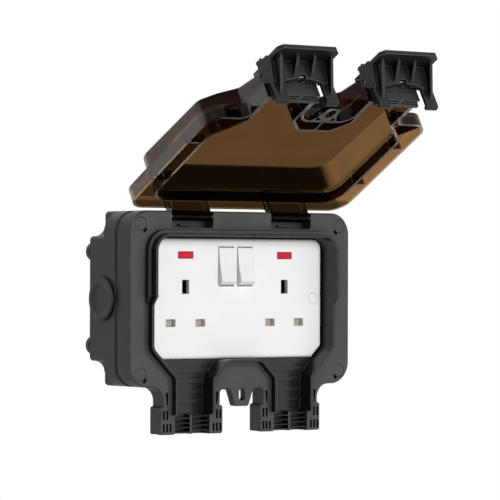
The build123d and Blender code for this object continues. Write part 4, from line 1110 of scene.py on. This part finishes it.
@dataclass
class Studio:
    """Camera, soft lamps, white surroundings and a pale floor.

    Attributes:
        camera_place: Camera position in metres.
        yaw: Turn of the view from +Y towards +X in degrees.
        pitch: Rise of the view in degrees.
        roll: Turn about the view in degrees.
        focal: Focal length as a share of the image width.
        sensor: Width of the sensor in millimetres.
        view_depth: How far the camera sees in metres.
        lamps: A broad key in front, a fill and a lamp over the lid.
        ambient: Light of the surroundings.
        floor_place: Middle of the floor in metres.
        floor_radius: Radius of the floor in metres.
        floor_fade: Shares of the radius between which the floor fades out.
        floor_sides: Steps round the floor's edge.
        floor_colour: Linear colour of the floor.
        floor_roughness: Roughness of the floor.
        floor_glow: Light that the camera alone sees on the floor.
    """

    camera_place: Place = (-1.094897, -1.562480, 0.017204)
    yaw: float = 36.03036
    pitch: float = 0.39512
    roll: float = 0.15044
    focal: float = 6.041969
    sensor: float = 36.0
    view_depth: float = 50.0
    lamps: Tuple[SoftLamp, ...] = (
        SoftLamp("key_lamp", (0.05, -2.2, 0.25), (0.0, -0.05, 0.0), 1.4, 41.0),
        SoftLamp("fill_lamp", (1.4, -1.4, 0.2), (0.0, -0.05, 0.0), 1.2, 3.0),
        SoftLamp("top_lamp", (0.1, -0.2, 1.7), (0.0, -0.08, 0.1), 1.0, 8.0),
    )
    ambient: Colour = (0.22, 0.22, 0.225)
    floor_place: Place = (0.0, -0.08, -0.30)
    floor_radius: float = 0.75
    floor_fade: Limits = (0.6, 1.02)
    floor_sides: int = 96
    floor_colour: Colour = (0.86, 0.86, 0.86)
    floor_roughness: float = 0.7
    floor_glow: float = 0.45

    def camera(self) -> None:
        """Set up the camera of the photograph."""
        yaw, pitch, roll = (math.radians(angle) for angle in (self.yaw, self.pitch, self.roll))
        ahead = Vector((math.sin(yaw) * math.cos(pitch), math.cos(yaw) * math.cos(pitch), math.sin(pitch)))
        right = Vector((math.cos(yaw), -math.sin(yaw), 0.0))
        up = right.cross(ahead)
        right_rolled = right * math.cos(roll) + up * math.sin(roll)
        up_rolled = up * math.cos(roll) - right * math.sin(roll)
        data = bpy.data.cameras.new("camera")
        data.sensor_fit = "HORIZONTAL"
        data.sensor_width = self.sensor
        data.lens = self.sensor * self.focal
        data.clip_end = self.view_depth
        camera = bpy.data.objects.new("camera", data)
        turn = Matrix((right_rolled, up_rolled, -ahead)).transposed().to_4x4()
        camera.matrix_world = Matrix.Translation(self.camera_place) @ turn
        bpy.context.scene.collection.objects.link(camera)
        bpy.context.scene.camera = camera

    def surroundings(self) -> None:
        """Light the world evenly and show it white."""
        world = bpy.data.worlds.new("studio")
        bpy.context.scene.world = world
        world.use_nodes = True
        sheet = NodeSheet(world.node_tree)
        back = world.node_tree.nodes["Background"].inputs
        path = sheet.add("ShaderNodeLightPath").outputs
        seen = sheet.math("MAXIMUM", path["Is Camera Ray"], path["Is Glossy Ray"])
        seen = sheet.math("MAXIMUM", seen, path["Is Transmission Ray"])
        sheet.feed(sheet.mix(seen, (*self.ambient, 1.0), WHITE), back["Color"])
        back["Strength"].default_value = 1.0

    def floor(self) -> None:
        """Lay a pale round floor that fades into the white."""
        mesh = bpy.data.meshes.new("floor")
        shape = bmesh.new()
        bmesh.ops.create_circle(shape, cap_ends=True, segments=self.floor_sides, radius=self.floor_radius)
        bmesh.ops.translate(shape, verts=shape.verts, vec=self.floor_place)
        shape.to_mesh(mesh)
        shape.free()
        floor = bpy.data.objects.new("floor", mesh)
        bpy.context.scene.collection.objects.link(floor)
        material, sheet, shader = start_material("pale_floor")
        shader["Base Color"].default_value = (*self.floor_colour, 1.0)
        shader["Roughness"].default_value = self.floor_roughness
        shader["Emission Color"].default_value = WHITE
        seen = sheet.add("ShaderNodeLightPath").outputs["Is Camera Ray"]
        sheet.feed(sheet.times(seen, self.floor_glow), shader["Emission Strength"])
        place = sheet.add("ShaderNodeTexCoord").outputs["Object"]
        far = sheet.add("ShaderNodeVectorMath", {0: place}, operation="LENGTH").outputs["Value"]
        start, end = (self.floor_radius * share for share in self.floor_fade)
        fade = sheet.add("ShaderNodeMapRange", {
            "Value": far, "From Min": start, "From Max": end, "To Min": 1.0, "To Max": 0.0,
        })
        sheet.feed(fade.outputs["Result"], shader["Alpha"])
        mesh.materials.append(material)

    def build(self) -> None:
        """Set up the whole studio."""
        self.camera()
        for lamp in self.lamps:
            lamp.build()
        self.surroundings()
        self.floor()
        bpy.context.scene.view_settings.view_transform = "Standard"


def write_sizes() -> None:
    bpy.context.view_layer.update()


def main() -> None:
    """Build the pieces in order and report each."""
    logging.basicConfig(level=logging.INFO)
    finishes = Finishes()
    bare = {row["node"] for row in frame["record"]["subparts"]}
    for group in (Enclosure(finishes), SocketModule(finishes), HingedLid(finishes), Latches(finishes)):
        bare -= set(group.dress())
        group.build()
    if bare:
        raise ValueError("left without a finish: " + ", ".join(sorted(bare)))
    Studio().build()
    write_sizes()


if __name__ == "__main__":
    main()
